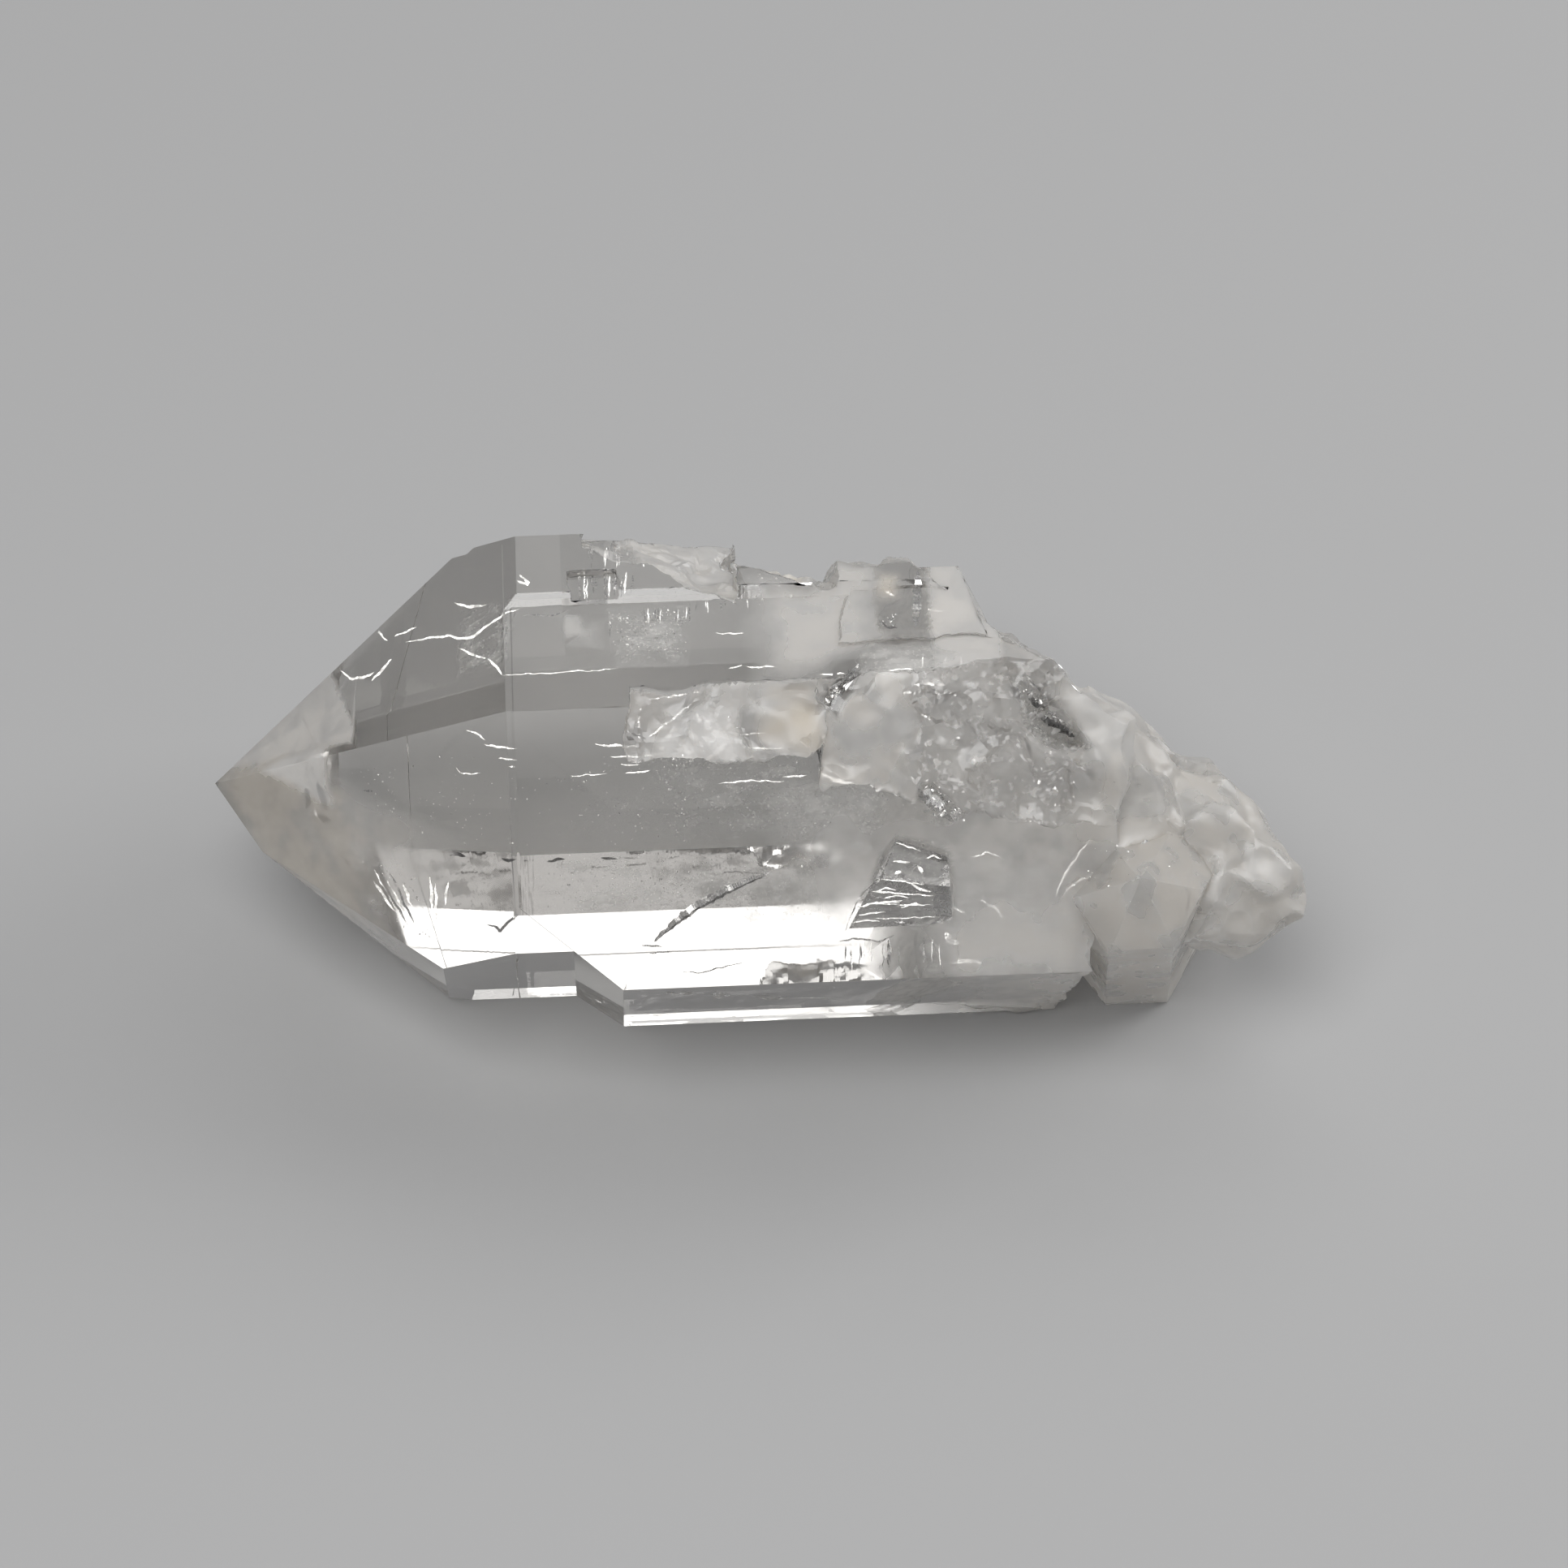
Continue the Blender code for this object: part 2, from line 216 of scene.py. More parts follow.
# Veils: the patch in the photograph's frame, depth and swell in millimetres,
# how even its haze is, how feathery it is, and how sharp its rim
VEILS = (
    (upright(790, 850, 1030, 1040), 1.8, 1.2, 0.0, 0.7, 4.0),
    (upright(1120, 790, 1340, 1060), 2.0, 1.2, 0.1, 0.9, 4.0),
    (((960, 960), (1130, 950), (1100, 1040), (930, 1050)), 0.8, 0.4, 0.35, 0.6, 3.0),
    (((1150, 1020), (1340, 1020), (1310, 1190), (1140, 1150)), 0.6, 0.3, 0.65, 0.5, 3.0),
    (((900, 1050), (1090, 1040), (1050, 1150), (900, 1140)), 0.6, 0.4, 0.45, 0.6, 3.0),
    (((1120, 1130), (1330, 1120), (1320, 1200), (1120, 1205)), 0.4, 0.2, 0.9, 0.3, 4.0),
    (((1100, 1030), (1172, 1054), (1178, 1142), (1038, 1150)), 0.4, 0.1, 0.26, 0.2, 12.0),
    (((560, 735), (640, 735), (620, 840), (560, 840)), 1.0, 0.6, 0.1, 0.8, 4.0),
    (((640, 1050), (960, 1040), (960, 1130), (640, 1130)), 1.0, 0.8, 0.0, 0.6, 4.0),
    (((740, 745), (860, 740), (850, 825), (750, 825)), 0.8, 0.4, 0.15, 0.8, 2.5),
    (((1060, 785), (1235, 805), (1230, 850), (1040, 850)), 0.5, 0.2, 0.5, 0.5, 6.0),
    (upright(640, 940, 900, 1045), 3.5, 1.5, 0.0, 0.25, 2.0),
)

# A crack's steps in pixels, how far it strays and over how short a wave, how
# much of its width is open, how that changes along it, and how it ends
CRACK_STEP = 3.0
CRACK_STRAY = 2.0
CRACK_WAVES = 0.11
CRACK_SHARE = 0.65
WIDTH_WAVES = 0.23
WIDTH_LEAST = 0.8
WIDTH_CHANGE = 0.5
BLUNT_END = 0.08
TAPER = 0.6

# How much the steps of a crack lean, and how often that changes
TILE_LEAN = 0.2
TILE_WAVES = 1.7

# Lines of a comb: the ranges of where they start, where they end and how wide
# they are
COMB_START = (0.0, 0.35)
COMB_END = (0.45, 1.0)
COMB_WIDTH = (0.6, 1.3)

# A flake: how many are tried for each that stays, how they gather in clumps and
# thin out to the patch's rim, their lean, shape and thickness
FLAKE_TRIES = 6
CLUMP_WAVES = 0.035
CLUMP_BASE = 0.45
CLUMP_CHANGE = 1.3
RIM_SHARE = 0.25
FLAKE_TILT = 0.35
FLAKE_CORNERS = 6
FLAKE_REACH = (0.6, 1.15)
FLAKE_STRETCH = (0.35, 1.0)
FLAKE_HEIGHT = 0.1

# A veil: its grid, what its points keep for the material, and the waves of its
# swell and of its ragged rim
VEIL_GRID = (24, 16)
VEIL_VALUES = ("haze", "feather")
SWELL_WAVES = 0.02
RAGGED_WAVES = 0.05
RAGGED = 0.9

# The front of the milk inside the root: where it starts on the lower side, how
# it leans to the root, its grid, its swells and ripples, how dense it is, and how
# far it fades before the surface
FRONT_START = 42.0
FRONT_LEAN = 0.5
FRONT_CELL = 0.7
FRONT_SWELL = 2.0
FRONT_WAVES = 0.16
FRONT_RIPPLES = 0.5
RIPPLE_SHARE = 0.35
FRONT_HAZE = 0.85
FRONT_RIM = 2.5

# Open cracks, which look dark: the same values as for the bright ones
DARK_CRACKS = (
    ((806, 1160), (830, 1138), (860, 1115), (905, 1092), (948, 1076), 19.0, 0.3),
    ((1040, 1147), (1058, 1106), (1085, 1082), (1102, 1045), 3.5, 0.4),
    ((1033, 1161), (1050, 1157), (1085, 1159), (1102, 1152), 4.5, 0.4),
    ((1058, 1109), (1090, 1106), 3.0, 0.4),
    ((1062, 1121), (1110, 1117), 3.0, 0.4),
    ((1075, 1134), (1130, 1136), (1160, 1130), 4.0, 0.4),
    ((447, 974), (460, 975), 4.0, 0.4),
    ((408, 850), (412, 860), (416, 872), 8.0, 0.3),
    ((1044, 835), (1028, 852), (1010, 873), 17.0, 0.3),
    ((1058, 818), (1050, 830), (1044, 838), 7.0, 0.3),
    ((1018, 900), (1011, 915), (1012, 941), 4.5, 0.3),
    ((600, 1140), (610, 1141), (616, 1149), (626, 1136), (639, 1127), 6.0, 0.3),
    ((790, 1165), (816, 1166), 4.0, 0.3),
    ((800, 1176), (812, 1173), (827, 1174), 3.0, 0.3),
    ((838, 1196), (860, 1199), (900, 1190), (918, 1184), 2.5, 0.3),
    ((1368, 1122), (1380, 1101), (1393, 1084), 4.5, 0.3),
    ((1370, 1130), (1378, 1114), 3.5, 0.3),
    ((1290, 1145), (1311, 1143), 3.0, 0.3),
    ((1292, 1151), (1306, 1152), 2.5, 0.3),
    ((801, 852), (790, 872), (787, 900), (789, 924), 5.0, 0.15),
    ((642, 758), (680, 758), (703, 752), 3.0, 0.3),
    ((1104, 855), (1150, 852), (1190, 860), 7.0, 0.3),
    ((1128, 970), (1140, 985), (1175, 1012), 18.0, 0.4),
    ((1178, 905), (1190, 930), 8.0, 0.3),
    ((1270, 960), (1300, 975), 12.0, 0.5),
    ((724, 720), (724, 742), 3.0, 0.3),
    ((745, 715), (747, 745), 4.0, 0.3),
    ((752, 765), (752, 785), 3.0, 0.3),
    ((1131, 702), (1130, 735), (1128, 772), 18.0, 0.3),
    ((1180, 700), (1200, 703), 4.0, 0.3),
)

# Dark spots: thin dark sheets just under the surface, with the same values
DARK_SPOTS = (
    ((390, 964), (396, 980), (403, 998), 16.0, 0.03),
    ((377, 970), (380, 984), (377, 997), 11.0, 0.03),
    ((391, 1003), (400, 1010), (408, 1011), 13.0, 0.03),
    ((294, 952), (302, 957), 7.0, 0.03),
    ((284, 969), (296, 972), 8.0, 0.03),
    ((424, 1059), (432, 1066), 8.0, 0.03),
    ((371, 876), (376, 890), (380, 903), (394, 923), 3.5, 0.03),
    ((808, 1160), (832, 1140), (862, 1118), (905, 1096), (940, 1081), 5.0, 0.2),
    ((554, 1054), (564, 1052), (574, 1055), 8.0, 0.2),
    ((618, 1058), (627, 1061), (636, 1059), 7.0, 0.2),
    ((674, 1062), (685, 1059), (696, 1060), 7.0, 0.2),
    ((740, 1057), (760, 1058), 6.0, 0.2),
    ((1246, 846), (1252, 853), (1257, 861), 16.0, 0.1),
    ((1266, 858), (1278, 868), (1288, 872), 12.0, 0.1),
    ((1280, 880), (1300, 893), (1324, 908), 17.0, 0.1),
    ((1268, 838), (1290, 858), (1312, 882), 7.0, 0.1),
    ((1186, 922), (1194, 932), (1192, 940), 10.0, 0.2),
    ((1262, 908), (1268, 918), (1270, 932), 8.0, 0.2),
    ((1222, 994), (1230, 998), 8.0, 0.1),
    ((1086, 766), (1094, 773), (1106, 774), 6.0, 0.3),
    ((1457, 1088), (1466, 1100), (1462, 1128), 7.0, 0.0),
    ((1012, 905), (1008, 925), (1010, 942), 5.0, 0.1),
)

# What the bright cracks and the dark ones show
KEY_LIGHT = (-120, -250, 620)
DIM_SIDE = (-560, -80, 400)

# The lights: name, place, size and power in watts
LIGHTS = (
    ("back_softbox", (130, 420, 480), (680, 260), 0.85),
    ("top_softbox", KEY_LIGHT, (420, 420), 2.8),
    ("front_card", (100, -700, 150), (900, 160), 0.22),
    ("right_softbox", (560, 160, 300), (320, 320), 1.6),
)

# The floor lies a hair under the crystal, so that light still turns back at
# the crystal's own lower face
FLOOR_GAP = 0.05

# Turns the small facets away from the frame's axes
FACET_TURN = Euler((0.7, 0.5, 0.3)).to_matrix()

# Blender's noise vectors differ from session to session without a seed
NOISE_SEED = 7

# Quartz
QUARTZ_IOR = 1.544

# Roughness of the clear faces, what full milk adds to it, and how much of the
# surface full milk covers
POLISH = 0.015
FROST = 0.55
MILK_COVER = 0.85

# Growth faces are the flat groups of triangles that are large, in square
# millimetres, or that look along one of the crystal's own directions. All other
# surface is broken.
GROUP_ANGLE = math.radians(0.6)
OWN_ANGLE = GROUP_ANGLE * 2
RISER_ANGLE = GROUP_ANGLE * 4
LARGE_FACE = 8.0
SMALL_FACE = 0.8
PRISM_TILT = math.radians(60.0)
TIP_LEAN = math.radians(38.2)
WALL_TURN = -0.9

# The riser of the raised slab is etched away to the right of here
RISER_LEAN = Vector((0.0, -0.67, 0.74))
RISER_END = 25.6

# The broken surface: the longest edge of its mesh, and the chips of its fresh
# and its worn parts, with the size, the start of the pattern and the height
EDGE_LENGTH = 0.36
FRESH_CHIPS = ((2.6, 3.1, 1.5), (1.25, 1.3, 0.7))
WORN_CHIPS = (4.2, 7.7, 1.8)
TILT_SCATTER = 5.3
STEP_SCATTER = 3.1
STEP_HEIGHT = 0.25

# Swells and hollows of the worn parts: how short and how high they are
SWELL = (0.25, 0.4)
HOLLOW = (0.5, 0.5)

# The line of a break strays slowly and quickly: how short and how far
SLOW_STRAY = (0.42, 0.55)
QUICK_STRAY = (1.5, 0.16)

# How hackly a worn part is at most, and how often either part is smoothed
WORN_HACKLE = 0.3
WORN_ROUNDS = 3
FRESH_ROUNDS = 1

# What each point of the surface keeps for the material
STYLES = ("hackle", "milk_and_painted_glint", "warmth", "stain")

# How far from its line a break reaches its full depth, and how far a growth
# face still moves with it. The rest is for the mesh and its creases.
PIN_DISTANCE = 1.1
STRAY_DISTANCE = 2.2
GROWTH_SPACING = 0.9
WELD_DISTANCE = 1e-6
CUT_DISTANCE = 1e-7
SMALL_SINE = 0.05
CREASE = math.radians(14.0)

# Zones of the broken surface, a later one over the ones before: a patch of
# the photograph's frame, the width of its soft edge in pixels, and there how
# hackly it is, how milky, how warm and how stained, from 0 to 1. Three zones
# near the end paint white milk where glints show: painted highlights.
ZONES = (
    (upright(1240, 620, 1700, 1260), 110, 0.13, 0.50, 0.6, 0.0),
    (((1110, 780), (1320, 780), (1345, 1060), (1110, 1060)), 60, 0.60, 0.26, 0.25, 0.0),
    (((1300, 820), (1400, 870), (1400, 930), (1320, 930)), 40, 0.22, 0.75, 0.2, 0.0),
    (((1240, 838), (1275, 850), (1345, 910), (1300, 915)), 16, 0.70, 0.0, 0.0, 0.0),
    (((1005, 820), (1125, 820), (1120, 985), (1005, 985)), 35, 0.10, 0.50, 0.75, 0.0),
    (((1005, 868), (1048, 815), (1064, 822), (1024, 884)), 6, 0.10, 0.0, 0.0, 0.0),
    (((1128, 962), (1150, 966), (1200, 1028), (1140, 1010)), 8, 0.15, 0.05, 0.0, 0.0),
    (upright(780, 845, 870, 925), 20, 0.15, 0.32, 0.5, 0.0),
    (((832, 868), (915, 868), (915, 940), (820, 940)), 20, 0.75, 0.85, 0.0, 0.0),
    (((914, 872), (938, 872), (942, 921), (914, 921)), 8, 0.05, 0.25, 0.0, 0.0),
    (upright(944, 845, 1012, 925), 14, 0.05, 0.60, 0.8, 0.0),
    (upright(952, 880, 992, 908), 30, 0.05, 0.60, 0.6, 0.6),
    (upright(780, 660, 1010, 760), 24, 0.45, 0.60, 0.4, 0.0),
    (upright(935, 705, 985, 740), 22, 0.5, 0.8, 0.5, 0.4),
    # These three zones paint white milk where glints show: painted highlights, not milky quartz.
    (upright(1470, 1093, 1500, 1115), 10, 0.4, 1.0, 0.0, 0.0),
    (upright(1350, 1056, 1392, 1074), 10, 0.4, 1.0, 0.0, 0.0),
    (upright(1350, 1030, 1422, 1048), 12, 0.2, 0.9, 0.0, 0.0),
    (((1540, 1055), (1580, 1065), (1570, 1095), (1535, 1085)), 16, 0.1, 0.9, 0.1, 0.0),
)

# How far the zones' edges stray, in pixels, and over how many
ZONE_STRAY = 26.0
ZONE_WAVE = 55.0

# The same for the growth faces, where the milk is close under them
GROWTH_ZONES = (
    (((262, 950), (400, 880), (450, 1180), (300, 1100)), 30, 0.0, 0.40, 1.0, 0.15),
    (((262, 952), (408, 822), (436, 896), (432, 916)), 6, 0.0, 0.62, 0.4, 0.0),
    (((318, 946), (402, 922), (406, 990), (386, 980)), 8, 0.0, 0.62, 0.1, 0.0),
    (((1000, 1010), (1340, 1010), (1330, 1145), (1000, 1140)), 110, 0.0, 0.36, 0.3, 0.0),
    (((1170, 1110), (1340, 1100), (1330, 1215), (1180, 1200)), 40, 0.0, 0.55, 0.4, 0.0),
    (((1104, 1030), (1168, 1056), (1172, 1138), (1040, 1147)), 8, 0.0, 0.0, 0.0, 0.0),
    (((935, 725), (1072, 695), (1081, 785), (945, 840)), 45, 0.0, 0.5, 0.5, 0.0),
    (((1139, 690), (1225, 690), (1240, 815), (1147, 800)), 10, 0.0, 0.6, 0.4, 0.0),
    (((1075, 690), (1138, 690), (1145, 777), (1083, 777)), 4, 0.0, 0.0, 0.3, 0.3),
    (((1084, 706), (1112, 706), (1108, 738), (1086, 738)), 14, 0.0, 0.5, 1.0, 0.4),
    (((1150, 806), (1233, 804), (1233, 846), (1150, 848)), 6, 0.0, 0.5, 0.2, 0.0),
    (((690, 755), (713, 755), (722, 785), (696, 785)), 4, 0.0, 0.35, 0.2, 0.0),
)
FINE_GROWTH = 0.55

# A broken surface away from the zones, and a growth face there. Each has its
# values towards the tip and at the root, and where the root starts and ends.
BREAK_STYLE = ((0.5, 0.42, 0.3, 0.0), (0.2, 0.62, 0.4, 0.0), 50.0, 57.0, ZONES)
GROWTH_STYLE = ((0.0, 0.0, 0.0, 0.0), (0.0, 0.5, 0.8, 0.0), 43.0, 54.0, GROWTH_ZONES)


def place(x, y, z):
    """A point given from the tip, in the frame's metres."""
    return (TIP_ORIGIN + Vector((x, y, z))) * MM


def crystal_directions():
    """The normals of the prism faces and of the tip faces."""
    made = []
    for turn in range(6):
        angle = turn * PRISM_TILT
        across = Vector((0.0, math.sin(angle), math.cos(angle)))
        made.append(across)
        made.append(across * math.cos(TIP_LEAN) - Vector((math.sin(TIP_LEAN), 0.0, 0.0)))
    return made


def flat_groups(bm):
    """Groups of neighbouring faces that lie in one plane."""
    groups = []
    seen = set()
    for start in sorted(bm.faces, key=lambda face: -face.calc_area()):
        if start.index in seen:
            continue
        seen.add(start.index)
        group = [start]
        for face in group:
            for edge in face.edges:
                for other in edge.link_faces:
                    if other.index in seen:
                        continue
                    if other.normal.angle(start.normal, math.pi) < GROUP_ANGLE:
                        seen.add(other.index)
                        group.append(other)
        groups.append(group)
    return groups


def mark_growth_faces(bm, layer):
    """Number the crystal's growth faces from 1, and return their normals."""
    directions = crystal_directions()
    normals = [None]
    for group in flat_groups(bm):
        area = sum(face.calc_area() for face in group) / MM ** 2
        normal = group[0].normal
        middle = group[0].calc_center_median() / MM - TIP_ORIGIN
        if middle.x > RISER_END and normal.dot(RISER_LEAN) > math.cos(RISER_ANGLE):
            continue
        along = max(normal.dot(direction) for direction in directions)
        own = area > SMALL_FACE and along > math.cos(OWN_ANGLE)
        if own or (area > LARGE_FACE and normal.x > WALL_TURN):
            for face in group:
                face[layer] = len(normals)
            normals.append(normal.copy())
    return normals


def border_tree(bm, layer):
    """Tree of the points where the broken surface meets growth faces."""
    border = [vert.co for vert in bm.verts
              if len({face[layer] > 0 for face in vert.link_faces}) == 2]
    tree = kdtree.KDTree(len(border))
    for index, point in enumerate(border):
        tree.insert(point, index)
    tree.balance()
    return tree


def growth_spacing(edge, middle):
    """The longest that an edge of a growth face may be, in metres."""
    if edge.link_faces[0].normal.dot(camera_view()[0] - middle) > 0.0:
        pixel = frame_pixel(middle)
        for patch, soft, *_ in GROWTH_ZONES:
            if depth_in(patch, pixel) > -soft:
                return FINE_GROWTH * MM
    return math.inf


def divide(bm, layer):
    """Split the edges of the broken surface until none is long.

    The growth faces are split as well, less and less away from their breaks.
    """
    tree = border_tree(bm, layer)
    while True:
        long = []
        for edge in bm.edges:
            length = edge.calc_length()
            if length < EDGE_LENGTH * MM:
                continue
            middle = (edge.verts[0].co + edge.verts[1].co) / 2
            broken = any(face[layer] == 0 for face in edge.link_faces)
            most = min(tree.find(middle)[2] * GROWTH_SPACING, growth_spacing(edge, middle))
            if broken or length > most:
                long.append(edge)
        if not long:
            return
        bmesh.ops.subdivide_edges(bm, edges=long, cuts=1, use_single_edge=True)
        bmesh.ops.triangulate(bm, faces=[face for face in bm.faces if len(face.verts) > 3])
        tree = border_tree(bm, layer)


def chips(point, cell, start):
    """Height of a surface of flat chips, each with its own tilt, in cells."""
    turned = FACET_TURN @ (point / cell) + Vector((start, 0.0, 0.0))
    centre = noise.voronoi(turned)[1][0]
    tilt = noise.noise_vector(centre * TILT_SCATTER)
    return (turned - centre).dot(tilt) + noise.noise(centre * STEP_SCATTER) * STEP_HEIGHT


def lumps(point):
    """Height of worn, rounded quartz, about -0.5 to 0.5."""
    cell, start, height = WORN_CHIPS
    swells = noise.noise(point * SWELL[0])
    hollows = abs(noise.noise(point * HOLLOW[0] + Vector((4.0, 0.0, 0.0))))
    return chips(point, cell, start) * height + swells * SWELL[1] - hollows * HOLLOW[1]


def wander(point, distance):
    """How far a break strays from its even line, in millimetres."""
    slow = noise.noise_vector(point * SLOW_STRAY[0])
    quick = noise.noise_vector(point * QUICK_STRAY[0] + Vector((9.0, 0.0, 0.0)))
    return slow * SLOW_STRAY[1] + quick * QUICK_STRAY[1] * max(0.0, 1.0 - distance)


def held(move, normals):
    """The part of a move that keeps to planes with these normals."""
    kept = []
    for normal in normals:
        free = normal.copy()
        for other in kept:
            free -= other * free.dot(other)
        if free.length > SMALL_SINE:
            kept.append(free.normalized())
    for normal in kept:
        move = move - normal * move.dot(normal)
    return move


def frame_pixel(point):
    """The pixel of the photograph's frame at which a point shows."""
    at, turn = camera_view()
    seen = turn.inverted() @ (point - at)
    return Vector((
        FRAME_MIDDLE - seen.x / seen.z * FRAME_SCALE,
        FRAME_MIDDLE + seen.y / seen.z * FRAME_SCALE))


def depth_in(patch, pixel):
    """How far inside a convex patch a pixel lies, less than 0 outside."""
    depths = []
    for first, second in zip(patch, patch[1:] + patch[:1]):
        side = Vector(second) - Vector(first)
        away = pixel - Vector(first)
        depths.append((side.x * away.y - side.y * away.x) / side.length)
    return min(depths)


def style_at(point, normal, kind):
    """How hackly, milky, warm and stained a surface of a kind is at a point; in a few zones the
    white milk is a painted highlight.
    """
    plain, root, start, end, zones = kind
    x = (point / MM - TIP_ORIGIN).x
    share = min(1.0, max(0.0, (x - start) / (end - start)))
    style = Vector(plain).lerp(Vector(root), share)
    if normal.dot(camera_view()[0] - point) > 0.0:
        pixel = frame_pixel(point)
        stray = noise.noise_vector(Vector((pixel.x, pixel.y, 0.0)) / ZONE_WAVE)
        for patch, soft, *values in zones:
            moved = pixel + Vector((stray.x, stray.y)) * min(soft, ZONE_STRAY)
            weight = min(1.0, max(0.0, depth_in(patch, moved) / soft + 0.5))
            style = style.lerp(Vector(values), weight)
    return style


def break_surface(bm, layer, normals):
    """Push the broken surface in and out, and let its borders stray.

    The points of a growth face move only within its plane.
    """
    tree = border_tree(bm, layer)
    bm.normal_update()
    styles = [bm.verts.layers.float.new(name) for name in STYLES]
    moves = []
    for vert in bm.verts:
        distance = tree.find(vert.co)[2] / MM
        point = vert.co / MM - TIP_ORIGIN
        planes = {face[layer] for face in vert.link_faces} - {0}
        style = style_at(vert.co, vert.normal, GROWTH_STYLE if planes else BREAK_STYLE)
        for name, value in zip(styles, style):
            vert[name] = value
        if planes:
            move = wander(point, distance) * max(0.0, 1.0 - distance / STRAY_DISTANCE)
            move = held(move, [normals[plane] for plane in sorted(planes)])
        else:
            hackle = style[0]
            hackly = sum(
                chips(point, cell, start) * height for cell, start, height in FRESH_CHIPS)
            depth = lumps(point) * (1.0 - hackle) + hackly * hackle
            fade = min(1.0, distance / PIN_DISTANCE)
            move = wander(point, distance) + vert.normal * depth * fade
        moves.append(move * MM)
    for vert, move in zip(bm.verts, moves):
        vert.co = kept_in_box(vert.co + move)
    wear(bm, layer)


def wear(bm, layer):
    """Round off the broken surface a little, and its worn parts more."""
    tree = border_tree(bm, layer)
    hackle = bm.verts.layers.float[STYLES[0]]
    fresh = [vert for vert in bm.verts if not any(face[layer] for face in vert.link_faces)]
    worn = [vert for vert in fresh
            if vert[hackle] < WORN_HACKLE and tree.find(vert.co)[2] > PIN_DISTANCE * MM]
    for verts, rounds in ((fresh, FRESH_ROUNDS), (worn, WORN_ROUNDS)):
        for _ in range(rounds):
            smooth(verts)


def smooth(verts):
    """Move points halfway to the middle of their neighbours, all at once."""
    middles = []
    for vert in verts:
        around = [edge.other_vert(vert).co for edge in vert.link_edges]
        middles.append(sum(around, Vector()) / len(around))
    for vert, middle in zip(verts, middles):
        vert.co = (vert.co + middle) / 2


def kept_in_box(point):
    """The point, held inside the CAD model's box."""
    low, high = CAD_BOX
    return Vector([min(max(value, least), most)
                   for value, least, most in zip(point, low, high)])


def body_mesh(node):
    """The crystal's surface, with its breaks worked out in small facets."""
    bm = bmesh.new()
    bm.from_mesh(node.data)
    bmesh.ops.remove_doubles(bm, verts=bm.verts, dist=WELD_DISTANCE)
    bmesh.ops.bisect_plane(
        bm, geom=bm.verts[:] + bm.edges[:] + bm.faces[:], dist=CUT_DISTANCE,
        plane_co=(TIP_ORIGIN + Vector((RISER_END, 0.0, 0.0))) * MM, plane_no=(1.0, 0.0, 0.0))
    bmesh.ops.triangulate(bm, faces=[face for face in bm.faces if len(face.verts) > 3])
    layer = bm.faces.layers.int.new("growth_face")
    bm.faces.index_update()
    bm.normal_update()
    normals = mark_growth_faces(bm, layer)
    divide(bm, layer)
    break_surface(bm, layer, normals)
    bm.normal_update()
    for edge in bm.edges:
        broken = all(face[layer] == 0 for face in edge.link_faces)
        edge.smooth = broken and edge.calc_face_angle(math.pi) < CREASE
    for face in bm.faces:
        face.smooth = face[layer] == 0
    mesh = bpy.data.meshes.new("crystal_body")
    bm.to_mesh(mesh)
    bm.free()
    return mesh


@lru_cache
def camera_view():
    """The camera's place in metres and its turn."""
    back = Vector((
        math.sin(CAMERA_AZIMUTH) * math.cos(CAMERA_ELEVATION),
        -math.cos(CAMERA_AZIMUTH) * math.cos(CAMERA_ELEVATION),
        math.sin(CAMERA_ELEVATION)))
    return (CAMERA_TARGET + back * CAMERA_DISTANCE) * MM, (-back).to_track_quat("-Z", "Y")


class Sight:
    """Finds places in the crystal behind pixels of the photograph's frame."""

    def __init__(self, body, thickness):
        self.thickness = thickness
        self.at, self.turn = camera_view()
        mesh = body.data
        self.tree = BVHTree.FromPolygons(
            [vert.co for vert in mesh.vertices],
            [list(polygon.vertices) for polygon in mesh.polygons])

    def inside(self, x, y, depth):
        """The point that shows at a pixel, at a depth in millimetres below the
        surface, with the direction of sight there and the surface's normal.
        None beside the crystal, and where the surface faces away."""
        slope = Vector((x - FRAME_MIDDLE, FRAME_MIDDLE - y, -FRAME_SCALE))
        ray = (self.turn @ slope).normalized()
        point, normal, _, _ = self.tree.ray_cast(self.at, ray)
        if point is None or ray.dot(normal) >= 0.0:
            return None
        cosine = -ray.dot(normal)
        ratio = 1.0 / QUARTZ_IOR
        bent = ratio * ray + normal * (
            ratio * cosine - math.sqrt(1.0 - ratio ** 2 * (1.0 - cosine ** 2)))
        return point + bent * depth * MM, bent, normal

    def encloses(self, point):
        """Whether a point lies within the crystal."""
        way = Vector((1.0, 0.0, 0.0))
        _, normal, _, _ = self.tree.ray_cast(point, way)
        return normal is not None and normal.dot(way) > 0.0

    def held(self, point):
        """The point, moved to just below the surface if it is over it."""
        nearest, normal, _, _ = self.tree.find_nearest(point)
        over = (point - nearest).dot(normal) + self.thickness
        return point - normal * over if over > 0.0 else point


def catching(sight, surface, source):
    """The normal of a crack that turns light from a direction along the sight.

    The light comes in through the surface that the crack is seen through.
    """
    light = Vector(source).normalized()
    inner = (light - surface * light.dot(surface)) / QUARTZ_IOR
    inner += surface * math.sqrt(1.0 - inner.length_squared)
    return (inner - sight).normalized()


def along_line(points, step):
    """Points every few pixels along a line, with how far along each is."""
    spans = [(Vector(b) - Vector(a)).length for a, b in zip(points, points[1:])]
    count = max(3, int(sum(spans) / step))
    made = []
    for index in range(count + 1):
        share = index / count
        rest = share * sum(spans)
        for (start, end), span in zip(zip(points, points[1:]), spans):
            if rest <= span + 1e-9:
                made.append((Vector(start).lerp(Vector(end), rest / span), share))
                break
            rest -= span
    return made


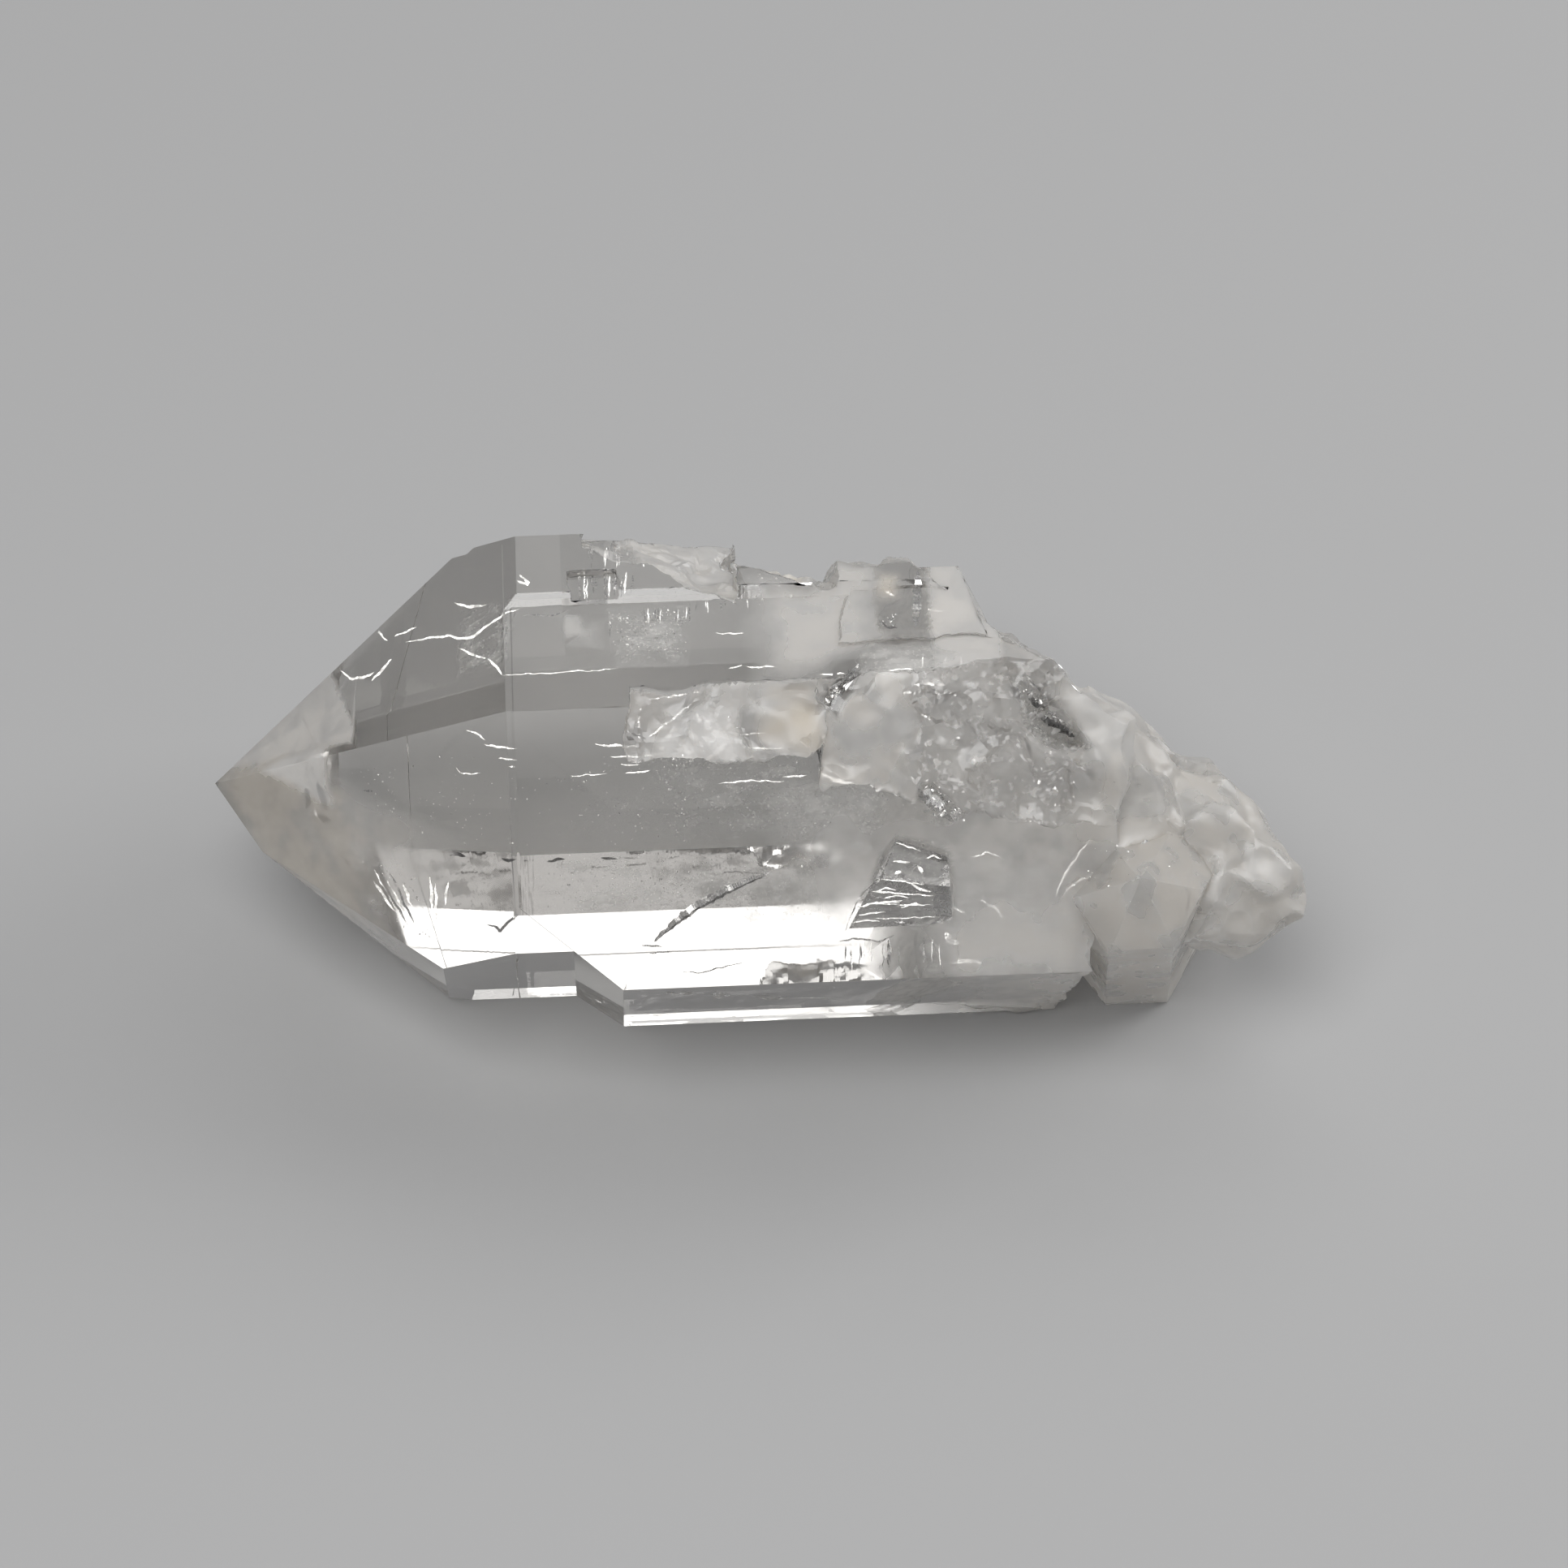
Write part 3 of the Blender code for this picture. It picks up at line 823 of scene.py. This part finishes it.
def add_tile(bm, sight, pixels, depth, source):
    """A thin flat tile within the crystal, behind the pixels of its corners.

    It is turned so that it shows what lies in the direction of the source.
    """
    seen = [sight.inside(*pixel, depth) for pixel in pixels]
    if None in seen:
        return
    _, along, surface = seen[0]
    centre = sum((point for point, _, _ in seen), Vector()) / len(seen)
    lean = noise.noise_vector(centre / MM * TILE_WAVES) * TILE_LEAN
    normal = (catching(along, surface, source) + lean).normalized()
    corners = [sight.held(point + along * ((centre - point).dot(normal) / along.dot(normal)))
               for point, _, _ in seen]
    half = normal * sight.thickness / 2
    upper = [bm.verts.new(corner + half) for corner in corners]
    lower = [bm.verts.new(corner - half) for corner in corners]
    bm.faces.new(upper)
    bm.faces.new(reversed(lower))
    for side in range(len(corners)):
        bm.faces.new((lower[side - 1], lower[side], upper[side], upper[side - 1]))


def add_crack(bm, sight, points, width, depth, source):
    """A crack along a line of pixels, in short flat steps."""
    sections = []
    samples = along_line(points, CRACK_STEP)
    for number, (pixel, share) in enumerate(samples):
        before = samples[max(0, number - 1)][0]
        after = samples[min(len(samples) - 1, number + 1)][0]
        tangent = (after - before).normalized()
        across = Vector((-tangent.y, tangent.x))
        stray = noise.noise(
            Vector((pixel.x * CRACK_WAVES, pixel.y * CRACK_WAVES, depth))) * CRACK_STRAY
        half = width * CRACK_SHARE / 2 * (BLUNT_END + math.sin(math.pi * share) ** TAPER)
        half *= WIDTH_LEAST + WIDTH_CHANGE * noise.noise(
            Vector((pixel.x * WIDTH_WAVES, pixel.y * WIDTH_WAVES, 5.0)))
        middle = pixel + across * stray
        sections.append((middle - across * half, middle + across * half))
    for (left, right), (next_left, next_right) in zip(sections, sections[1:]):
        add_tile(bm, sight, (left, right, next_right, next_left), depth, source)


def add_plates(bm, sight, corners, bands, depth, source):
    """Flat plates, one under the other, behind a patch of the frame."""
    corners = [Vector(corner) for corner in corners]
    for band in range(bands):
        top, bottom = band / bands, (band + 1) / bands
        add_tile(bm, sight, [
            corners[0].lerp(corners[3], top), corners[1].lerp(corners[2], top),
            corners[1].lerp(corners[2], bottom), corners[0].lerp(corners[3], bottom),
        ], depth, source)


def add_comb(bm, sight, corners, count, width, depth, source, seed):
    """Fine lines of uneven length from a patch's upper side to its lower one."""
    corners = [Vector(corner) for corner in corners]
    random = Random(seed)
    for _ in range(count):
        across = random.random()
        top = corners[0].lerp(corners[1], across)
        bottom = corners[3].lerp(corners[2], across)
        start, end = random.uniform(*COMB_START), random.uniform(*COMB_END)
        line = (top.lerp(bottom, start), top.lerp(bottom, end))
        add_crack(bm, sight, line, width * random.uniform(*COMB_WIDTH), depth, source)


def add_flakes(bm, sight, corners, count, size, depth, source, seed):
    """Small lens-shaped flakes, strewn in clumps behind a patch of the frame."""
    corners = [Vector(corner) for corner in corners]
    random = Random(seed)
    placed = 0
    for _ in range(count * FLAKE_TRIES):
        across, down = random.random(), random.random()
        pixel = corners[0].lerp(corners[1], across).lerp(
            corners[3].lerp(corners[2], across), down)
        clump = noise.noise(Vector((pixel.x * CLUMP_WAVES, pixel.y * CLUMP_WAVES, seed)))
        edge = min(across, 1.0 - across, down, 1.0 - down) / RIM_SHARE
        if random.random() > (CLUMP_BASE + CLUMP_CHANGE * clump) * min(1.0, RIM_SHARE + edge):
            continue
        seen = sight.inside(*pixel, random.uniform(*depth))
        if seen is None or not sight.encloses(seen[0]):
            continue
        centre, along, surface = seen
        radius = random.uniform(size[0], size[1]) * random.random() ** 0.7
        radius = max(radius, size[0]) * MM
        facing = (catching(along, surface, source) + Vector([
            random.uniform(-FLAKE_TILT, FLAKE_TILT) for _ in range(3)])).normalized()
        long = facing.orthogonal().normalized()
        long.rotate(Quaternion(facing, random.uniform(0.0, math.pi)))
        short = facing.cross(long)
        stretch = random.uniform(*FLAKE_STRETCH)
        rim = []
        for corner in range(FLAKE_CORNERS):
            angle = corner * math.tau / FLAKE_CORNERS
            reach = radius * random.uniform(*FLAKE_REACH)
            rim.append(bm.verts.new(
                centre + long * math.cos(angle) * reach
                + short * math.sin(angle) * reach * stretch))
        for side in (1.0, -1.0):
            top = bm.verts.new(centre + facing * radius * FLAKE_HEIGHT * side)
            for first, second in zip(rim, rim[1:] + rim[:1]):
                corner = (first, second, top) if side > 0 else (second, first, top)
                bm.faces.new(corner)
        placed += 1
        if placed == count:
            break


def add_veil(bm, layers, sight, seed, corners, depth, swell, haze, feather, rim):
    """A thin wavy veil behind a patch of the frame, which fades to its rim."""
    columns, rows = VEIL_GRID
    corners = [Vector(corner) for corner in corners]
    grid = {}
    for column in range(columns + 1):
        for row in range(rows + 1):
            across, down = column / columns, row / rows
            pixel = corners[0].lerp(corners[1], across).lerp(
                corners[3].lerp(corners[2], across), down)
            wave = noise.noise(Vector((pixel.x * SWELL_WAVES, pixel.y * SWELL_WAVES, seed)))
            seen = sight.inside(*pixel, depth + swell * wave)
            if seen is None or not sight.encloses(seen[0]):
                continue
            vert = bm.verts.new(seen[0])
            ragged = 1.0 + RAGGED * noise.noise(
                Vector((pixel.x * RAGGED_WAVES, pixel.y * RAGGED_WAVES, seed + 0.5)))
            fade = min(1.0, min(across, 1.0 - across, down, 1.0 - down) * rim * ragged)
            vert[layers[0]] = haze * fade
            vert[layers[1]] = feather * fade
            grid[column, row] = vert
    fill_grid(bm, grid)


def add_milk_front(bm, layers, sight):
    """The uneven front of the milk that fills the root, inside the crystal."""
    low, high = (corner / MM - TIP_ORIGIN for corner in CAD_BOX)
    grid = {}
    for column in range(int((high.y - low.y) / FRONT_CELL)):
        for row in range(int(high.z / FRONT_CELL)):
            y, z = low.y + column * FRONT_CELL, row * FRONT_CELL
            wave = noise.noise(Vector((y, z, 0.0)) * FRONT_WAVES) + noise.noise(
                Vector((y, z, 9.0)) * FRONT_RIPPLES) * RIPPLE_SHARE
            point = place(FRONT_START + z * FRONT_LEAN + wave * FRONT_SWELL, y, z)
            distance = sight.tree.find_nearest(point)[3]
            if not sight.encloses(point) or distance < FRONT_CELL * MM / 2:
                continue
            vert = bm.verts.new(point)
            vert[layers[0]] = FRONT_HAZE * min(1.0, distance / MM / FRONT_RIM)
            grid[column, row] = vert
    fill_grid(bm, grid)


def fill_grid(bm, grid):
    """Join the points of a grid with faces where all four are there."""
    for column, row in list(grid):
        keys = ((column, row), (column, row + 1), (column + 1, row + 1), (column + 1, row))
        if all(key in grid for key in keys):
            bm.faces.new([grid[key] for key in keys])


def add_piece(name, bm, material):
    """Turn a bmesh into a piece that rides on the crystal."""
    mesh = bpy.data.meshes.new(name)
    bm.to_mesh(mesh)
    bm.free()
    piece = bpy.data.objects.new(name, mesh)
    bpy.context.scene.collection.objects.link(piece)
    mesh.materials.append(material)
    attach(piece, BODY)
    return piece


class QuartzLook(bpy.types.PropertyGroup):
    """What a user would change on the crystal."""

    clear_colour: bpy.props.FloatVectorProperty(
        name="Clear colour", description="Colour of the clear quartz",
        subtype="COLOR", size=3, min=0.0, max=1.0, default=(0.985, 0.975, 0.955))
    depth_colour: bpy.props.FloatVectorProperty(
        name="Depth colour", description="Colour that light takes on its way through the quartz",
        subtype="COLOR", size=3, min=0.0, max=1.0, default=(0.80, 0.785, 0.765))
    milk_colour: bpy.props.FloatVectorProperty(
        name="Milk colour", description="Colour of the milky quartz",
        subtype="COLOR", size=3, min=0.0, max=1.0, default=(0.81, 0.795, 0.77))
    warm_colour: bpy.props.FloatVectorProperty(
        name="Warm milk colour", description="Colour of the milky quartz in its warm patches",
        subtype="COLOR", size=3, min=0.0, max=1.0, default=(0.80, 0.755, 0.69))
    stain_colour: bpy.props.FloatVectorProperty(
        name="Stain colour", description="Colour of the iron stain",
        subtype="COLOR", size=3, min=0.0, max=1.0, default=(0.73, 0.61, 0.43))
    veil_colour: bpy.props.FloatVectorProperty(
        name="Veil colour", description="Colour of the veils",
        subtype="COLOR", size=3, min=0.0, max=1.0, default=(0.96, 0.95, 0.93))
    bright_colour: bpy.props.FloatVectorProperty(
        name="Bright crack colour", description="Colour of the cracks that mirror the light",
        subtype="COLOR", size=3, min=0.0, max=1.0, default=(0.88, 0.87, 0.85))
    dark_colour: bpy.props.FloatVectorProperty(
        name="Dark crack colour", description="Colour of the open cracks that look dark",
        subtype="COLOR", size=3, min=0.0, max=1.0, default=(0.76, 0.75, 0.74))
    speck_colour: bpy.props.FloatVectorProperty(
        name="Dark spot colour", description="Colour of the dark spots",
        subtype="COLOR", size=3, min=0.0, max=1.0, default=(0.22, 0.215, 0.21))
    depth_density: bpy.props.FloatProperty(
        name="Depth density", description="How strongly the quartz takes its depth colour",
        min=0.0, default=24.0)
    milk_depth: bpy.props.FloatProperty(
        name="Milk depth", description="How far light spreads in the milky quartz",
        unit="LENGTH", min=0.0, precision=4, default=0.001)
    crack_thickness: bpy.props.FloatProperty(
        name="Crack thickness", description="Thickness of the cracks within the crystal",
        unit="LENGTH", min=0.0, precision=5, default=0.00002)


class QuartzStage(bpy.types.PropertyGroup):
    """What a user would change on the stage."""

    floor_colour: bpy.props.FloatVectorProperty(
        name="Floor colour", description="Colour of the plain floor",
        subtype="COLOR", size=3, min=0.0, max=1.0, default=(0.43, 0.43, 0.43))
    floor_size: bpy.props.FloatProperty(
        name="Floor size", description="Length of the floor's sides",
        unit="LENGTH", min=0.5, default=6.0)
    studio_colour: bpy.props.FloatVectorProperty(
        name="Studio colour", description="Colour of the light from all round",
        subtype="COLOR", size=3, min=0.0, max=1.0, default=(0.20, 0.20, 0.205))
    light_share: bpy.props.FloatProperty(
        name="Light", description="Power of the softboxes, as a share of their own",
        min=0.0, default=1.0)


class Socket:
    """A node's output in an expression."""

    def __init__(self, tree, output):
        self.tree = tree
        self.output = output

    def _maths(self, operation, first, second):
        return self.tree.add(
            "ShaderNodeMath", {"operation": operation}, {0: first, 1: second})

    def __add__(self, other):
        return self._maths("ADD", self, other)

    def __radd__(self, other):
        return self._maths("ADD", other, self)

    def __mul__(self, other):
        return self._maths("MULTIPLY", self, other)

    def __rmul__(self, other):
        return self._maths("MULTIPLY", other, self)


def found(sockets, name):
    """A socket by its number, or by its identifier or name."""
    if isinstance(name, int):
        return sockets[name]
    for socket in sockets:
        if socket.identifier == name:
            return socket
    return sockets[name]


class Material:
    """A node material that is put together with expressions."""

    def __init__(self, name):
        self.material = bpy.data.materials.new(name)
        self.material.use_nodes = True
        self.nodes = self.material.node_tree.nodes
        self.links = self.material.node_tree.links
        self.nodes.clear()

    def add(self, kind, settings=None, values=None, output=0):
        """Add any node: its settings first, then its sockets."""
        node = self.nodes.new(kind)
        for name, value in (settings or {}).items():
            setattr(node, name, value)
        for name, value in (values or {}).items():
            socket = found(node.inputs, name)
            if isinstance(value, Socket):
                self.links.new(value.output, socket)
            else:
                socket.default_value = value
        return Socket(self, found(node.outputs, output))

    def place(self):
        """The point on the surface in millimetres from the tip."""
        point = self.add("ShaderNodeTexCoord", output="Object")
        return self.add("ShaderNodeVectorMath", {"operation": "MULTIPLY_ADD"}, {
            0: point, 1: (1.0 / MM, 1.0 / MM, 1.0 / MM), 2: -TIP_ORIGIN})

    def stretched(self, point, scale):
        """The point with each coordinate times its own scale."""
        return self.add(
            "ShaderNodeVectorMath", {"operation": "MULTIPLY"}, {0: point, 1: scale})

    def noise(self, point, scale, detail):
        """Soft noise from 0 to 1."""
        return self.add("ShaderNodeTexNoise", {}, {
            "Vector": point, "Scale": scale, "Detail": detail, "Distortion": 0.0})

    def ramp(self, value, low, high, to_low=0.0, to_high=1.0):
        """Smooth step of a value from low to high."""
        return self.add(
            "ShaderNodeMapRange", {"interpolation_type": "SMOOTHSTEP"},
            {0: value, 1: low, 2: high, 3: to_low, 4: to_high})

    def blend(self, factor, first, second):
        """Mix of two shaders."""
        return self.add("ShaderNodeMixShader", {}, {0: factor, 1: first, 2: second})

    def tint(self, factor, first, second):
        """Mix of two colours."""
        return self.add("ShaderNodeMix", {"data_type": "RGBA"}, {
            "Factor_Float": factor, "A_Color": first, "B_Color": second}, "Result_Color")

    def attributes(self, names):
        """The values that the mesh keeps under these names."""
        return [self.add("ShaderNodeAttribute", {"attribute_name": name}, output="Fac")
                for name in names]

    def relief(self, height):
        """A normal bumped by a height in millimetres."""
        return self.add("ShaderNodeBump", {}, {
            "Height": height, "Strength": 1.0, "Distance": MM})

    def finish(self, surface, volume=None):
        """Connect the surface, and the volume if there is one, to the output."""
        output = self.nodes.new("ShaderNodeOutputMaterial")
        self.links.new(surface.output, output.inputs["Surface"])
        if volume:
            self.links.new(volume.output, output.inputs["Volume"])
        return self.material


def quartz(look):
    """Quartz: clear on the growth faces, and frosted or milky on the breaks."""
    made = Material("quartz")
    point = made.place()
    # The milk attribute also holds painted highlights: white patches where glints show.
    hackle, milk_and_painted_glint, warmth, stain = made.attributes(STYLES)
    clouds = made.noise(point, scale=0.42, detail=2.0)
    flecks = made.noise(point, scale=1.6, detail=1.0)
    fresh = made.ramp(hackle, 0.3, 0.8)
    amount = milk_and_painted_glint * made.ramp(clouds, 0.3, 0.65, 0.80, 1.15) + (
        made.ramp(flecks, 0.58, 0.68) * fresh * 0.45)
    warm = made.tint(
        made.ramp(clouds, 0.35, 0.6) * warmth, (*look.milk_colour, 1.0), (*look.warm_colour, 1.0))
    colour = made.tint(stain, warm, (*look.stain_colour, 1.0))
    striations = made.noise(made.stretched(point, (3.0, 0.2, 0.2)), scale=1.0, detail=1.0)
    height = striations * 0.0015 + flecks * (fresh * 0.09 + milk_and_painted_glint * 0.02)
    relief = made.relief(height)
    glass = made.add("ShaderNodeBsdfPrincipled", {}, {
        "Base Color": (*look.clear_colour, 1.0),
        "Roughness": amount * FROST + POLISH,
        "IOR": QUARTZ_IOR,
        "Transmission Weight": 1.0,
        "Normal": relief,
    })
    skin = made.add("ShaderNodeBsdfPrincipled", {}, {
        "Base Color": colour,
        "Roughness": 0.4,
        "IOR": QUARTZ_IOR,
        "Subsurface Weight": 0.5,
        "Subsurface Radius": (2.2, 2.1, 2.0),
        "Subsurface Scale": look.milk_depth,
        "Normal": relief,
    })
    body = made.add("ShaderNodeVolumeAbsorption", {}, {
        "Color": (*look.depth_colour, 1.0), "Density": look.depth_density})
    return made.finish(made.blend(amount * MILK_COVER, glass, skin), body)


def crack(name, colour, roughness):
    """A crack that mirrors the light, with a fine sparkle."""
    made = Material(name)
    point = made.place()
    sparkle = made.noise(point, scale=6.0, detail=3.0)
    dull = [channel * 0.85 for channel in colour]
    return made.finish(made.add("ShaderNodeBsdfPrincipled", {}, {
        "Base Color": made.tint(sparkle, (*dull, 1.0), (*colour, 1.0)),
        "Roughness": made.ramp(sparkle, 0.3, 0.7, roughness * 0.7, roughness * 1.6),
        "Metallic": 1.0,
    }))


def veil_cloud(look):
    """A veil of tiny inclusions, in feathers and clouds."""
    made = Material("veil_cloud")
    point = made.place()
    haze, feather = made.attributes(VEIL_VALUES)
    feathers = made.noise(made.stretched(point, (0.5, 1.0, 1.0)), scale=0.9, detail=4.0)
    specks = made.noise(point, scale=5.0, detail=1.0)
    alpha = haze * made.ramp(feathers, 0.3, 0.6, 0.7, 1.0) + feather * (
        made.ramp(feathers, 0.42, 0.64, 0.0, 0.7) + made.ramp(specks, 0.58, 0.68, 0.0, 0.5))
    return made.finish(made.add("ShaderNodeBsdfPrincipled", {}, {
        "Base Color": (*look.veil_colour, 1.0),
        "Roughness": 0.5,
        "Alpha": alpha,
    }))


def floor_paint(stage):
    """Matt paint of the floor."""
    made = Material("floor_paint")
    paint = made.add("ShaderNodeBsdfPrincipled", {}, {
        "Base Color": (*stage.floor_colour, 1.0),
        "Roughness": 0.8,
    })
    return made.finish(paint)


def set_stage(scene):
    """Camera, floor and soft lights."""
    stage = scene.quartz_stage
    camera = bpy.data.cameras.new("camera")
    camera.lens = CAMERA_LENS
    camera.clip_start, camera.clip_end = CAMERA_CLIP
    holder = bpy.data.objects.new("camera", camera)
    scene.collection.objects.link(holder)
    holder.rotation_mode = "QUATERNION"
    holder.location, holder.rotation_quaternion = camera_view()
    scene.camera = holder

    bpy.ops.mesh.primitive_plane_add(size=stage.floor_size)
    floor = bpy.context.object
    floor.name = "floor"
    floor.location.z = -FLOOR_GAP * MM
    floor.data.materials.append(floor_paint(stage))

    world = bpy.data.worlds.new("studio")
    world.use_nodes = True
    sky = world.node_tree.nodes["Background"].inputs
    sky["Color"].default_value = (*stage.studio_colour, 1.0)
    sky["Strength"].default_value = 1.0
    scene.world = world

    for name, at, size, power in LIGHTS:
        soft_light(name, at, size, power * stage.light_share)


def soft_light(name, at, size, power):
    """A rectangular softbox that points at the crystal."""
    light = bpy.data.lights.new(name, "AREA")
    light.shape = "RECTANGLE"
    light.size = size[0] * MM
    light.size_y = size[1] * MM
    light.energy = power
    made = bpy.data.objects.new(name, light)
    made.location = Vector(at) * MM
    made.rotation_mode = "QUATERNION"
    made.rotation_quaternion = (-Vector(at)).to_track_quat("-Z", "Y")
    bpy.context.scene.collection.objects.link(made)


class QUARTZ_OT_stage(bpy.types.Operator):
    """Set the camera, the floor and the lights"""

    bl_idname = "quartz.stage"
    bl_label = "Set the stage"

    def execute(self, context):
        set_stage(context.scene)
        return {"FINISHED"}


class QUARTZ_OT_body(bpy.types.Operator):
    """Dress the crystal itself"""

    bl_idname = "quartz.body"
    bl_label = "Dress the crystal"

    def execute(self, context):
        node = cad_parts[NODE]
        body = bpy.data.objects.new("crystal_body", body_mesh(node))
        context.scene.collection.objects.link(body)
        body.data.materials.append(quartz(context.scene.quartz_look))
        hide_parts(NODE)
        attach(body, BODY)
        return {"FINISHED"}


class QUARTZ_OT_cracks(bpy.types.Operator):
    """Set the cracks and flakes into the crystal"""

    bl_idname = "quartz.cracks"
    bl_label = "Set the cracks"

    def execute(self, context):
        look = context.scene.quartz_look
        sight = Sight(bpy.data.objects["crystal_body"], look.crack_thickness)
        bm = bmesh.new()
        for *points, width, depth in BRIGHT_CRACKS:
            add_crack(bm, sight, points, width, depth, KEY_LIGHT)
        for seed, strewn in enumerate(FLAKES):
            add_flakes(bm, sight, *strewn, KEY_LIGHT, seed)
        for seed, (corners, count, _, width, depth) in enumerate(COMBS):
            add_comb(bm, sight, corners, count, width, depth, KEY_LIGHT, seed)
        add_piece("bright_cracks", bm, crack("bright_crack", look.bright_colour, 0.3))
        bm = bmesh.new()
        for *points, width, depth in DARK_CRACKS:
            add_crack(bm, sight, points, width, depth, DIM_SIDE)
        for seed, strewn in enumerate(DARK_FLAKES):
            add_flakes(bm, sight, *strewn, DIM_SIDE, seed)
        for seed, (corners, _, count, width, depth) in enumerate(COMBS):
            add_comb(bm, sight, corners, count, width, depth, DIM_SIDE, seed + len(COMBS))
        for plates in PLATES:
            add_plates(bm, sight, *plates, DIM_SIDE)
        add_piece("dark_cracks", bm, crack("dark_crack", look.dark_colour, 0.2))
        bm = bmesh.new()
        for *points, width, depth in DARK_SPOTS:
            add_crack(bm, sight, points, width, depth, DIM_SIDE)
        add_piece("dark_spots", bm, crack("dark_spot", look.speck_colour, 0.3))
        return {"FINISHED"}


class QUARTZ_OT_veils(bpy.types.Operator):
    """Hang the veils in the crystal"""

    bl_idname = "quartz.veils"
    bl_label = "Hang the veils"

    def execute(self, context):
        look = context.scene.quartz_look
        sight = Sight(bpy.data.objects["crystal_body"], look.crack_thickness)
        bm = bmesh.new()
        layers = [bm.verts.layers.float.new(name) for name in VEIL_VALUES]
        for seed, veil in enumerate(VEILS):
            add_veil(bm, layers, sight, seed, *veil)
        add_milk_front(bm, layers, sight)
        piece = add_piece("veils", bm, veil_cloud(look))
        piece.data.shade_smooth()
        return {"FINISHED"}


class QUARTZ_PT_panel(bpy.types.Panel):
    """The crystal's steps and settings"""

    bl_idname = "QUARTZ_PT_panel"
    bl_label = "Quartz"
    bl_space_type = "VIEW_3D"
    bl_region_type = "UI"
    bl_category = "Quartz"

    def draw(self, context):
        for step in STEPS:
            self.layout.operator(step.bl_idname)
        for group in (context.scene.quartz_look, context.scene.quartz_stage):
            for name in type(group).__annotations__:
                self.layout.prop(group, name)


STEPS = (QUARTZ_OT_stage, QUARTZ_OT_body, QUARTZ_OT_cracks, QUARTZ_OT_veils)
CLASSES = (QuartzLook, QuartzStage, *STEPS, QUARTZ_PT_panel)


def register():
    noise.seed_set(NOISE_SEED)
    for one in CLASSES:
        bpy.utils.register_class(one)
    bpy.types.Scene.quartz_look = bpy.props.PointerProperty(type=QuartzLook)
    bpy.types.Scene.quartz_stage = bpy.props.PointerProperty(type=QuartzStage)


def unregister():
    del bpy.types.Scene.quartz_stage
    del bpy.types.Scene.quartz_look
    for one in reversed(CLASSES):
        bpy.utils.unregister_class(one)


def main():
    register()
    bpy.context.scene.view_settings.view_transform = "Standard"
    bpy.ops.quartz.stage()
    bpy.ops.quartz.body()
    bpy.ops.quartz.cracks()
    bpy.ops.quartz.veils()


if __name__ == "__main__":
    main()
